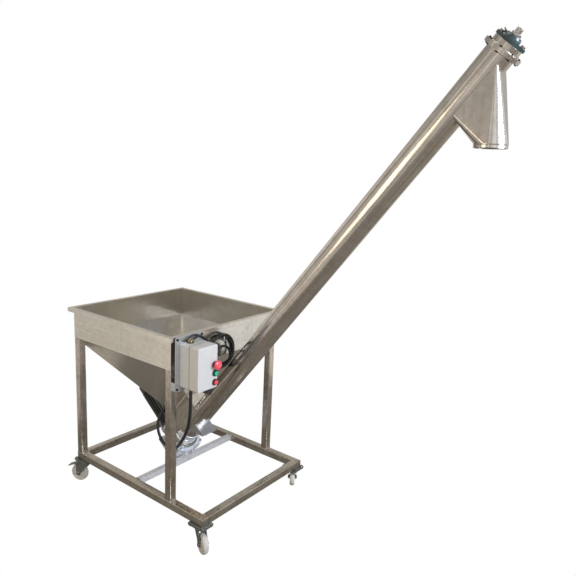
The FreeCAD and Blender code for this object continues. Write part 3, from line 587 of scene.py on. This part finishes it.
class Surfaces:
    """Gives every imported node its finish, grain direction and smooth rounds."""

    GRAIN = {"base_rail_near": Vector((1, 0, 0)), "base_rail_far": Vector((1, 0, 0)),
             "base_rail_rear": Vector((0, 1, 0)), "base_rail_front": Vector((0, 1, 0)),
             "crossbar": Vector((0, 1, 0)), "hopper_skirt": Vector((1, 0, 0)), "feed_boot": AXIS_S,
             "conveyor_tube": AXIS_S, "end_cover": AXIS_S, "screw_shaft": AXIS_S}
    OTHER = {"crossbar": "galvanised_steel", "lower_flange": "gearbox_alloy",
             "cleanout_sump": "bracket_steel", "cleanout_cover": "bracket_steel"}

    def apply(self) -> None:
        """Set materials by the record's slots and smooth the turned shapes."""
        slots = {part["node"]: part["material_slot"] for part in frame["record"]["subparts"]}
        for name, obj in frame["nodes"].items():
            along = self.GRAIN.get(name, Vector((0, 0, 1)))
            material = MATERIALS.get(self.OTHER.get(name, slots[name]), along)
            obj.data.materials.clear()
            obj.data.materials.append(material)
            for polygon in obj.data.polygons:
                polygon.use_smooth = True
            weld = obj.modifiers.new("join seams", "WELD")
            weld.merge_threshold = SEAM
            split = obj.modifiers.new("keep corners", "EDGE_SPLIT")
            split.split_angle = CORNER_ANGLE
        LOG.info("%d nodes finished", len(frame["nodes"]))


@dataclass(frozen=True)
class BaseTrim:
    """Welds and caster screws of the base frame, in millimetres from the datum.

    Attributes:
        centres: middles of the casters' plates along the base.
        aside: their distance to each side.
        screws: half spacing of a plate's screws along and across.
        screw: thread of those screws.
        under: height of the plate's underside.
        over: height of its top, where a nut shows past the rails.
        rails: the rails' reach along and to the side.
        legs: middles of the legs along the base.
        leg_side: their distance to each side.
        leg_half: half width of a leg.
        crossbar: ends of the crossbar's weld along the base.
        crossbar_side: its distance to each side.
        weld_top: its height.
        leg_bead: radius of a leg's bead.
        crossbar_bead: radius of the crossbar's bead.
    """

    centres: Tuple[float, float] = (978.0, 36.0)
    aside: float = 369.5
    screws: Tuple[float, float] = (40.0, 28.0)
    screw: float = 8
    under: float = 128.0
    over: float = 138.0
    rails: Tuple[float, float] = (1014.0, 393.0)
    legs: Tuple[float, float] = (20.0, 766.0)
    leg_side: float = 373.0
    leg_half: float = 20.0
    crossbar: Tuple[float, float] = (475.0, 503.0)
    crossbar_side: float = 352.5
    weld_top: float = 178.5
    leg_bead: float = 1.8
    crossbar_bead: float = 1.6

    def build(self) -> None:
        """Make the trim."""
        for centre in self.centres:
            for side in (-1, 1):
                for sx in (-1, 1):
                    for sy in (-1, 1):
                        self._screw(centre + sx * self.screws[0], side * self.aside + sy * self.screws[1])
        half = self.leg_half
        for x in self.legs:
            for side in (-1, 1):
                corners = [DATUM.at(x + dx * half, side * self.leg_side + dy * half, self.weld_top + 0.5)
                           for dx, dy in ((-1, -1), (1, -1), (1, 1), (-1, 1))]
                points: List[Vector] = []
                for start, end in zip(corners, corners[1:] + corners[:1]):
                    points += rippled(start, end)[:-1]
                bead("leg foot weld", points, self.leg_bead, True)
        for side in (-1, 1):
            ends = [DATUM.at(x, side * self.crossbar_side, self.weld_top) for x in self.crossbar]
            bead("crossbar weld", rippled(*ends), self.crossbar_bead)

    def _screw(self, x: float, y: float) -> None:
        """Place a caster's screw head, and its nut where the rails leave it in view."""
        FASTENERS.put("hex", self.screw, DATUM.at(x, y, self.under), Vector((0, 0, -1)))
        if abs(y) > self.rails[1] and not 0 < x < self.rails[0]:
            FASTENERS.put("hex", self.screw, DATUM.at(x, y, self.over), Vector((0, 0, 1)))


@dataclass(frozen=True)
class TubeTrim:
    """Welds and screws of the tube, boot, spout and top bearing, in millimetres along the screw.

    Attributes:
        ring_r: radius of the screws in the tube's rings.
        top_s: joint between the top ring and the end cover.
        foot_s: top face of the lower flange.
        tube_r: where the ring welds run.
        boot: ends of the boot's seams.
        boot_y: half width between them.
        mouth: lower and upper edge of the boot's mouth.
        mouth_n: height of the mouth above the axis.
        mouth_y: half width of the mouth.
        bolt_n: the bearing's bolts above and below the axis.
        shaft_r: radius of the screw's shaft end.
        sump_inset: the sump screws from the cover's edges in metres.
    """

    ring_r: float = 67.0
    top_s: float = 2669.0
    foot_s: float = 158.0
    tube_r: float = 57.5
    boot: Tuple[float, float] = (170.0, 418.0)
    boot_y: float = 58.2
    mouth: Tuple[float, float] = (238.0, 416.0)
    mouth_n: float = 119.0
    mouth_y: float = 58.5
    bolt_n: float = 50.0
    shaft_r: float = 15.5
    sump_inset: float = 0.009

    # Radius and height along the axis
    NIPPLE = ((0, 0), (4, 0), (4, 4), (2.4, 5), (2.4, 9), (3.3, 11), (1.8, 14), (0, 14))
    CLAMP = ((57.2, 0), (64, 0), (65, 4), (64, 9), (60, 13), (59.4, 20), (62, 26), (62.5, 34), (60, 40),
             (59.4, 46), (61.5, 50), (60.5, 55), (57.2, 57))

    def build(self) -> None:
        """Make the trim."""
        self._ring_screws()
        self._bearing()
        for side in (-1, 1):
            self._seam("boot seam", [(s, 0, side * self.boot_y) for s in self.boot], 4.0, 2.4)
        self._ring_welds()
        for side in (-1, 1):
            self._seam("mouth seam", [(s, self.mouth_n, side * self.mouth_y) for s in self.mouth], 3.0, 1.6)
        for s in self.mouth:
            self._seam("mouth seam", [(s, self.mouth_n, side * self.mouth_y) for side in (-1, 1)], 3.0, 1.6)
        self._sump()

    def _seam(self, name: str, ends: Sequence[Tuple[float, float, float]], step: float,
              radius: float) -> None:
        """Weld between two places along, above and aside of the axis."""
        start, end = ends
        bead(name, rippled(DATUM.along(*start), DATUM.along(*end), step), radius)

    def _ring_screws(self) -> None:
        """Screws of the rings at both ends."""
        turn = math.radians(8)
        for kind, size, s, way, phase in (("socket", 5, self.top_s + 8, AXIS_S, turn),
                                          ("hex", 6, self.top_s - 8, -AXIS_S, -turn)):
            FASTENERS.circle(kind, size, DATUM.along(s, 0), way, Y_AXIS, self.ring_r, 8, phase,
                             "dark_fastener")
        FASTENERS.circle("hex", 8, DATUM.along(self.foot_s, 0), AXIS_S, Y_AXIS, self.ring_r, 6,
                         math.radians(30))

    def _ring_welds(self) -> None:
        """Clamp round the foot, and the welds of the rings."""
        mesh_object("foot clamp", lathe_mesh("foot clamp", self.CLAMP, 64), "frame", "gearbox_alloy",
                    matrix=facing(DATUM.along(self.foot_s + 2, 0), AXIS_S))
        steps = 72
        for s in (self.foot_s + 1, self.top_s - 9, self.top_s + 9):
            points = []
            for i in range(steps):
                angle = 2 * math.pi * i / steps
                out = AXIS_N * math.cos(angle) + Y_AXIS * math.sin(angle)
                points.append(DATUM.along(s + 0.3 * math.sin(i * 2.6), 0) + out * (self.tube_r * MM))
            bead("ring weld", points, 2.0, True)

    def _bearing(self) -> None:
        """Bolts, grease nipple and set screws of the top bearing."""
        for n in (-self.bolt_n, self.bolt_n):
            FASTENERS.put("hex", 10, DATUM.along(self.top_s + 43, n), AXIS_S)
        mesh_object("grease nipple", lathe_mesh("grease nipple", self.NIPPLE, 20), "frame", "gland_brass",
                    matrix=facing(DATUM.along(self.top_s + 52.6, 37.6), (AXIS_N + AXIS_S * 0.6).normalized()))
        for angle in (math.radians(20), math.radians(140)):
            out = AXIS_N * math.cos(angle) + Y_AXIS * math.sin(angle)
            FASTENERS.put("socket", 5, DATUM.along(self.top_s + 64, 0) + out * (self.shaft_r * MM), out,
                          "screw", "dark_fastener")

    def _sump(self) -> None:
        """Screws under the clean-out cover."""
        low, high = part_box("cleanout_cover")
        for x in (low.x + self.sump_inset, high.x - self.sump_inset):
            for y in (low.y + self.sump_inset, high.y - self.sump_inset):
                FASTENERS.put("hex", 5, Vector((x, y, high.z - 0.003)), Vector((0, 0, -1)))


@dataclass(frozen=True)
class DriveTrim:
    """Screws and oil plugs of the gearbox and motor, in millimetres along the screw.

    Attributes:
        motor_y: the motor's axis aside of the screw.
        mid_s: the motor's axis along the screw.
        side_y: the gearbox's outer side.
        flange: faces of the motor's flange above the axis.
        flange_r: radius of its screws.
        housing: heights above the axis of the housing's screws.
        housing_y: their places aside.
        housing_s: the housing's lower and upper face.
        plugs: places of the oil plugs above the axis and along it.
        lid: heights above the axis of the terminal box's screws.
        lid_y: their places aside.
        lid_s: the terminal box's lid.
        fan_n: the fan cover's screws above the axis.
        fan_r: radius of the fan cover in metres.
    """

    motor_y: float = 63.0
    mid_s: float = 78.0
    side_y: float = -74.0
    flange: Tuple[float, float] = (128.0, 102.0)
    flange_r: float = 88.0
    housing: Tuple[float, float] = (-62.0, 62.0)
    housing_y: Tuple[float, float] = (-62.0, 92.0)
    housing_s: Tuple[float, float] = (30.0, 126.0)
    plugs: Tuple[Tuple[float, float], ...] = ((-50.0, 50.0), (-50.0, 106.0), (50.0, 106.0))
    lid: Tuple[float, float] = (163.0, 237.0)
    lid_y: Tuple[float, float] = (30.0, 96.0)
    lid_s: float = 214.0
    fan_n: float = 376.0
    fan_r: float = 0.082

    # Radius and height of the sight glass in its ring
    SIGHT = ((0, 0), (9, 0), (9, 3), (6.5, 3.5), (6, 1.8), (0, 1.8))

    def build(self) -> None:
        """Make the trim."""
        quarter = math.radians(45)
        for n, way in zip(self.flange, (AXIS_N, -AXIS_N)):
            FASTENERS.circle("hex", 10, DATUM.along(self.mid_s, n, self.motor_y), way, Y_AXIS,
                             self.flange_r, 4, quarter)
        for n in self.housing:
            for y in self.housing_y:
                for s, way in zip(self.housing_s, (-1, 1)):
                    FASTENERS.put("socket", 8, DATUM.along(s, n, y), AXIS_S * way)
        for n, s in self.plugs:
            FASTENERS.put("hex", 10, DATUM.along(s, n, self.side_y), -Y_AXIS)
        mesh_object("oil sight", lathe_mesh("oil sight", self.SIGHT), "frame", "gland_brass",
                    matrix=facing(DATUM.along(self.mid_s, 0, self.side_y), -Y_AXIS))
        for n in self.lid:
            for y in self.lid_y:
                FASTENERS.put("socket", 5, DATUM.along(self.lid_s, n, y), AXIS_S)
        for i in range(4):
            angle = quarter + math.radians(90 * i)
            out = AXIS_S * math.cos(angle) + Y_AXIS * math.sin(angle)
            place = DATUM.along(self.mid_s, self.fan_n, self.motor_y) + out * self.fan_r
            FASTENERS.put("socket", 4, place, out)


@dataclass(frozen=True)
class BoxTrim:
    """Gasket, screws, gland feet and arrows of the control box, in millimetres from the datum.

    Attributes:
        estop_z: height of the emergency stop.
        button_y: the buttons' place across the lid.
        corner: radius of the lid's corners in metres.
        inset: how far the gasket lies inside the lid's outline in metres.
        lid_screws: heights of the screws in the lid's side.
        lid_side: their place along and across.
        tabs_x: face of the back plate.
        tabs_y: places of its screws across.
        tabs_z: their heights.
        glands: place of each cable gland and whether it faces up.
        arrow: inner and outer radius of the arrows.
        arrow_head: how much wider an arrow's head is on each side.
    """

    estop_z: float = 903.0
    button_y: float = -260.5
    corner: float = 0.010
    inset: float = 0.0006
    lid_screws: Tuple[float, float] = (830.0, 955.0)
    lid_side: Tuple[float, float] = (898.0, -242.0)
    tabs_x: float = 821.0
    tabs_y: Tuple[float, float] = (-385.0, -228.0)
    tabs_z: Tuple[float, float] = (776.0, 1020.0)
    glands: Tuple[Tuple[float, float, float, int], ...] = (
        (840.0, -322.0, 1000.0, 1), (852.0, -326.0, 785.0, -1))
    arrow: Tuple[float, float] = (5.0, 7.0)
    arrow_head: float = 1.5

    # Radius and height of the collar under a gland
    FOOT = ((12.1, 0), (18, 0), (18, 2.5), (15, 3.5), (12.1, 3.5))

    def build(self) -> None:
        """Make the trim."""
        self._gasket()
        for z in self.lid_screws:
            FASTENERS.put("socket", 5, DATUM.at(*self.lid_side, z), Y_AXIS)
        self._arrows()
        for y in self.tabs_y:
            for z in self.tabs_z:
                FASTENERS.put("hex", 6, DATUM.at(self.tabs_x, y, z), Vector((1, 0, 0)))
        for x, y, z, way in self.glands:
            mesh_object("gland foot", lathe_mesh("gland foot", self.FOOT, 32), "frame", "bezel_plastic",
                        matrix=facing(DATUM.at(x, y, z), Vector((0, 0, way))))

    def _gasket(self) -> None:
        """Gasket round the lid's rear edge."""
        low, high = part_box("control_box_lid")
        turn = self.corner
        points = []
        for cy, cz, start in ((high.y - turn, high.z - turn, 0), (low.y + turn, high.z - turn, 90),
                              (low.y + turn, low.z + turn, 180), (high.y - turn, low.z + turn, 270)):
            for step in range(7):
                angle = math.radians(start + 15 * step)
                reach = turn - self.inset
                points.append(Vector((low.x, cy + reach * math.cos(angle), cz + reach * math.sin(angle))))
        gasket = bead("lid gasket", points, 1.3, True)
        gasket.data.materials.clear()
        gasket.data.materials.append(MATERIALS.get("gasket"))

    def _arrows(self) -> None:
        """Three turning arrows printed on the emergency stop."""
        mesh = bpy.data.meshes.new("turn arrow")
        build = bmesh.new()
        inner, outer = self.arrow

        def corner(radius: float, degrees: float) -> bmesh.types.BMVert:
            angle = math.radians(degrees)
            return build.verts.new((radius * MM * math.cos(angle), radius * MM * math.sin(angle), 0))

        for start in (15, 135, 255):
            rungs = [[corner(radius, start + step * 14) for radius in (inner, outer)] for step in range(6)]
            for here, after in zip(rungs, rungs[1:]):
                build.faces.new((here[0], here[1], after[1], after[0]))
            head = [corner(radius, start + 70)
                    for radius in (inner - self.arrow_head, outer + self.arrow_head)]
            build.faces.new((*head, corner((inner + outer) / 2, start + 90)))
        build.to_mesh(mesh)
        build.free()
        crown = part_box("estop_button")[1].x
        place = Vector((crown + 0.0002, DATUM.origin.y + self.button_y * MM, self.estop_z * MM))
        mesh_object("turn arrow", mesh, "estop_key", "mark_gold", matrix=facing(place, Vector((1, 0, 0))))


@dataclass(frozen=True)
class Coil:
    """The supply lead's big loops on their hook and the small ones tied below, in millimetres.

    Attributes:
        loop: middle of the big loops across y and z.
        long: half length of the first big loop.
        short: its half width.
        lean: direction of its length in degrees.
        shrink: how much smaller each further turn is.
        bundle: middle of the small loops.
        radius: radius of the small loops.
        start: angle at which the lead joins.
        parted: angle at which the cable leaves the big loops.
        gathered: angle at which it has reached the small ones.
        end: angle at which the tail leaves.
        step: degrees between control points.
    """

    loop: Tuple[float, float] = (-60.0, 896.5)
    long: float = 104.0
    short: float = 79.0
    lean: float = -38.0
    shrink: float = 0.17
    bundle: Tuple[float, float] = (-72.0, 872.0)
    radius: float = 50.0
    start: float = 116.0
    parted: float = -300.0
    gathered: float = -600.0
    end: float = -810.0
    step: float = 15.0

    # Angle in degrees and x there
    DEPTHS = ((116, 814.5), (60, 810), (0, 797), (-190, 795), (-240, 799), (-300, 808), (-470, 811),
              (-640, 814), (-810, 829))
    # The turns breathe by this share so that they don't look drawn with compasses
    WANDER = 0.004

    def points(self) -> List[Tuple[float, float, float]]:
        """Give the centreline's control points from the lead round to the tail."""
        made = []
        count = round((self.start - self.end) / self.step)
        for i in range(1, count + 1):
            degrees = self.start + (self.end - self.start) * i / count
            made.append((self._depth(degrees), *self._place(degrees)))
        return made

    def _place(self, degrees: float) -> Tuple[float, float]:
        """Give y and z at an angle, from the leaning oval over to the small circle."""
        angle = math.radians(degrees)
        across = math.radians(degrees - self.lean)
        scale = 1 - self.shrink * (self.start - degrees) / 360 + self.WANDER * math.sin(2.3 * angle)
        oval = scale * self.long * self.short / math.hypot(self.short * math.cos(across),
                                                           self.long * math.sin(across))
        share = min(1.0, max(0.0, (self.parted - degrees) / (self.parted - self.gathered)))
        share = share * share * (3 - 2 * share)
        reach = oval + (self.radius - oval) * share
        middle = [a + (b - a) * share for a, b in zip(self.loop, self.bundle)]
        return middle[0] + reach * math.cos(angle), middle[1] + reach * math.sin(angle)

    def _depth(self, degrees: float) -> float:
        """Give x at an angle, so that turns pass beside each other."""
        for (a, x_a), (b, x_b) in zip(self.DEPTHS, self.DEPTHS[1:]):
            if degrees >= b:
                return x_a + (x_b - x_a) * (a - degrees) / (a - b)
        return self.DEPTHS[-1][1]


@dataclass
class Cables:
    """The supply lead with its coil and plug, and the motor cable.

    Attributes:
        lead: centreline from the gland to the coil in millimetres from the datum.
        tail: centreline from the coil to the plug.
        motor: centreline of the motor cable.
        coil: the loops between lead and tail.
    """

    lead: Sequence[Tuple[float, float, float]] = (
        (838.51, -306.65, 1009.86), (836, -280, 1020), (833, -250, 1017), (831, -220, 999), (823, -192, 977),
        (818, -166, 965), (815.5, -140, 965), (814.5, -117, 974))
    tail: Sequence[Tuple[float, float, float]] = (
        (836, -98, 822), (838, -124, 822), (839, -148, 813), (838, -166, 795), (837, -174, 773))
    motor: Sequence[Tuple[float, float, float]] = (
        (852, -326, 766), (852, -326, 690), (838, -318, 600), (780, -285, 505), (690, -235, 410),
        (590, -175, 320), (500, -125, 262), (430, -105, 248), (370, -97, 270), (336, -92, 320),
        (333, -86, 378), (339, -52, 428), (344.3, 2, 441.3))
    coil: Coil = Coil()

    def build(self) -> None:
        supply = self._tube("supply lead", [*self.lead, *self.coil.points(), *self.tail], SUPPLY_DIAMETER)
        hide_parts("supply_lead", "supply_coil", "supply_tail")
        DATUM.at(*self.lead[0])
        power = self._tube("motor cable", self.motor, MOTOR_CABLE_DIAMETER)
        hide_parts("motor_cable")
        DATUM.at(*self.motor[0])

    def _tube(self, name: str, points: Sequence[Tuple[float, float, float]],
              diameter: float) -> bpy.types.Object:
        """Make a round cable along control points in millimetres from the datum."""
        curve = bpy.data.curves.new(name, "CURVE")
        curve.dimensions = "3D"
        curve.bevel_depth = diameter / 2
        curve.bevel_resolution = 5
        curve.use_fill_caps = True
        spline = curve.splines.new("NURBS")
        spline.points.add(len(points) - 1)
        for point, place in zip(spline.points, points):
            point.co = (*DATUM.at(*place), 1.0)
        spline.order_u = 3
        spline.use_endpoint_u = True
        spline.resolution_u = 6
        obj = bpy.data.objects.new(name.replace(" ", "_"), curve)
        bpy.context.scene.collection.objects.link(obj)
        curve.materials.append(MATERIALS.get("cable_rubber"))
        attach(obj, "frame")
        return obj


@dataclass(frozen=True)
class View:
    """The photograph's camera.

    Attributes:
        place: its position in millimetres from the datum.
        yaw: turn to the left from +Y in degrees.
        pitch: upward tilt in degrees.
        roll: roll in degrees.
        lens: focal length in millimetres.
        sensor: width of the sensor in millimetres.
    """

    place: Tuple[float, float, float] = (2758.383, -2138.299, 1810.87)
    yaw: float = 36.808
    pitch: float = -11.445
    roll: float = 2.707
    lens: float = 36.0
    sensor: float = 36.0

    def build(self) -> None:
        """Make the camera."""
        yaw, pitch, roll = (math.radians(v) for v in (self.yaw, self.pitch, self.roll))
        ahead = Vector((-math.sin(yaw) * math.cos(pitch), math.cos(yaw) * math.cos(pitch),
                        math.sin(pitch)))
        right = ahead.cross(Vector((0, 0, 1))).normalized()
        up = right.cross(ahead)
        tilted_right = right * math.cos(roll) + up * math.sin(roll)
        tilted_up = up * math.cos(roll) - right * math.sin(roll)
        camera = bpy.data.objects.new("camera", bpy.data.cameras.new("camera"))
        camera.data.lens = self.lens
        camera.data.sensor_width = self.sensor
        turn = Matrix((tilted_right, tilted_up, -ahead)).transposed().to_4x4()
        camera.matrix_world = Matrix.Translation(DATUM.at(*self.place)) @ turn
        bpy.context.scene.collection.objects.link(camera)
        bpy.context.scene.camera = camera


@dataclass(frozen=True)
class Lamp:
    """One soft box.

    Attributes:
        name: what it does.
        place: position in metres.
        aim: point it looks at.
        size: width in metres.
        power: watts.
        colour: sRGB hex.
    """

    name: str
    place: Tuple[float, float, float]
    aim: Tuple[float, float, float]
    size: float
    power: float
    colour: str


class Studio:
    """White surroundings, floor and soft boxes.

    The camera sees plain white. Metal shows a workshop instead: a cool bright side on the right, a warm
    one on the left, dark bays between them, a brown floor and a dim roof.
    """

    LAMPS = (
        Lamp("right key", (4.2, 0.2, 2.4), (0.0, 0.0, 0.9), 1.8, 180.0, "#EAF0FF"),
        Lamp("left fill", (-0.9, -3.8, 1.4), (-0.3, 0.0, 0.8), 1.8, 28.0, "#FFEBD2"),
        Lamp("overhead", (0.2, -0.4, 4.6), (0.0, 0.0, 0.8), 2.6, 32.0, "#FFFFFF"),
    )
    WHITE = "#FFFFFF"
    LEFT_SIDE = "#E9E1D6"
    RIGHT_SIDE = "#F2F5FA"
    LOW_DOWN = "#857967"
    PAPER = "#8E867A"
    FLOOR_REACH = 1.7
    # Share of the white backdrop that metal mirrors
    BACKDROP_MIRRORED = 0.15
    FLOOR_MIRRORED = 0.06

    def build(self) -> None:
        """Make the surroundings."""
        self._world()
        self._floor()
        for lamp in self.LAMPS:
            data = bpy.data.lights.new(lamp.name, "AREA")
            data.size = lamp.size
            data.energy = lamp.power
            data.color = linear(lamp.colour)[:3]
            obj = bpy.data.objects.new(lamp.name, data)
            aim = (Vector(lamp.aim) - Vector(lamp.place)).to_track_quat("-Z", "Y").to_matrix().to_4x4()
            obj.matrix_world = Matrix.Translation(lamp.place) @ aim
            bpy.context.scene.collection.objects.link(obj)

    def _seen(self, nodes: Nodes, mirrored: float) -> bpy.types.NodeSocket:
        """Give how far a ray shows the white backdrop itself.

        Args:
            nodes: tree to add to.
            mirrored: share that metal and glass show of it.

        Returns:
            The share, 1 for the camera.
        """
        path = nodes.add("ShaderNodeLightPath")
        bent = nodes.add("ShaderNodeMath", {"operation": "MAXIMUM"}, i0=path.outputs["Is Glossy Ray"],
                         i1=path.outputs["Is Transmission Ray"])
        both = nodes.add("ShaderNodeMath", {"operation": "MULTIPLY_ADD", "use_clamp": True},
                         i0=bent.outputs[0], i1=mirrored, i2=path.outputs["Is Camera Ray"])
        return both.outputs[0]

    def _smooth(self, nodes: Nodes, value: bpy.types.NodeSocket, start: float, end: float, low: float = 0.0,
                high: float = 1.0) -> bpy.types.NodeSocket:
        """Give a smooth step from low to high while value goes from start to end."""
        return nodes.add("ShaderNodeMapRange", {"interpolation_type": "SMOOTHSTEP"}, Value=value,
                         From_Min=start, From_Max=end, To_Min=low, To_Max=high).outputs[0]

    def _world(self) -> None:
        world = bpy.data.worlds.new("surroundings")
        bpy.context.scene.world = world
        world.use_nodes = True
        world.node_tree.nodes.clear()
        nodes = Nodes(world.node_tree)
        coord = nodes.add("ShaderNodeTexCoord").outputs["Generated"]
        part = nodes.add("ShaderNodeSeparateXYZ", Vector=coord)
        blur = nodes.add("ShaderNodeTexNoise", Vector=coord, Scale=1.9, Detail=2.0)
        bays = nodes.add("ShaderNodeTexNoise", {"noise_dimensions": "2D"}, Vector=coord, Scale=5.0,
                         Detail=1.0)
        shade = self._smooth(nodes, bays.outputs[0], 0.42, 0.58, 0.5, 1.35)
        side = nodes.add("ShaderNodeMath", {"operation": "ADD"}, i0=part.outputs["X"], i1=blur.outputs[0])
        lift = nodes.add("ShaderNodeMath", {"operation": "MULTIPLY_ADD"}, i0=blur.outputs[0], i1=0.5,
                         i2=part.outputs["Z"])
        upper = nodes.add("ShaderNodeMix", {"data_type": "RGBA"},
                          Factor=self._smooth(nodes, side.outputs[0], 0.35, 1.25),
                          i6=linear(self.LEFT_SIDE), i7=linear(self.RIGHT_SIDE))
        tone = nodes.add("ShaderNodeMix", {"data_type": "RGBA"},
                         Factor=self._smooth(nodes, lift.outputs[0], -0.5, 0.1),
                         i6=linear(self.LOW_DOWN), i7=upper.outputs[2])
        roof = self._smooth(nodes, part.outputs["Z"], 0.15, 0.75, 1.0, 0.22)
        strength = nodes.add("ShaderNodeMath", {"operation": "MULTIPLY"}, i0=shade, i1=roof)
        around = nodes.add("ShaderNodeBackground", Color=tone.outputs[2], Strength=strength.outputs[0])
        shown = nodes.add("ShaderNodeBackground", Color=linear(self.WHITE), Strength=1.0)
        both = nodes.add("ShaderNodeMixShader", Fac=self._seen(nodes, self.BACKDROP_MIRRORED),
                         i1=around.outputs[0], i2=shown.outputs[0])
        nodes.add("ShaderNodeOutputWorld", Surface=both.outputs[0])

    def _floor(self) -> None:
        mesh = bpy.data.meshes.new("floor")
        reach = self.FLOOR_REACH
        mesh.from_pydata([(-reach, -reach, 0), (reach, -reach, 0), (reach, reach, 0), (-reach, reach, 0)], [],
                         [(0, 1, 2, 3)])
        floor = bpy.data.objects.new("floor", mesh)
        bpy.context.scene.collection.objects.link(floor)
        material = bpy.data.materials.new("white paper floor")
        material.use_nodes = True
        material.node_tree.nodes.clear()
        nodes = Nodes(material.node_tree)
        paper = nodes.add("ShaderNodeBsdfDiffuse", Color=linear(self.PAPER))
        shown = nodes.add("ShaderNodeEmission", Color=linear(self.WHITE), Strength=1.0)
        both = nodes.add("ShaderNodeMixShader", Fac=self._seen(nodes, self.FLOOR_MIRRORED),
                         i1=paper.outputs[0], i2=shown.outputs[0])
        nodes.add("ShaderNodeOutputMaterial", Surface=both.outputs[0])
        mesh.materials.append(material)


def write_size() -> None:
    """Update the view layer so that placements are current."""
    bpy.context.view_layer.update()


def main() -> None:
    """Build the whole picture."""
    logging.basicConfig(level=logging.INFO)
    write_size()
    bpy.context.scene.view_settings.view_transform = "Standard"
    Surfaces().apply()
    for trim in (BaseTrim(), TubeTrim(), DriveTrim(), BoxTrim(), Cables(), Studio(), View()):
        trim.build()
    write_size()


if __name__ == "__main__":
    main()
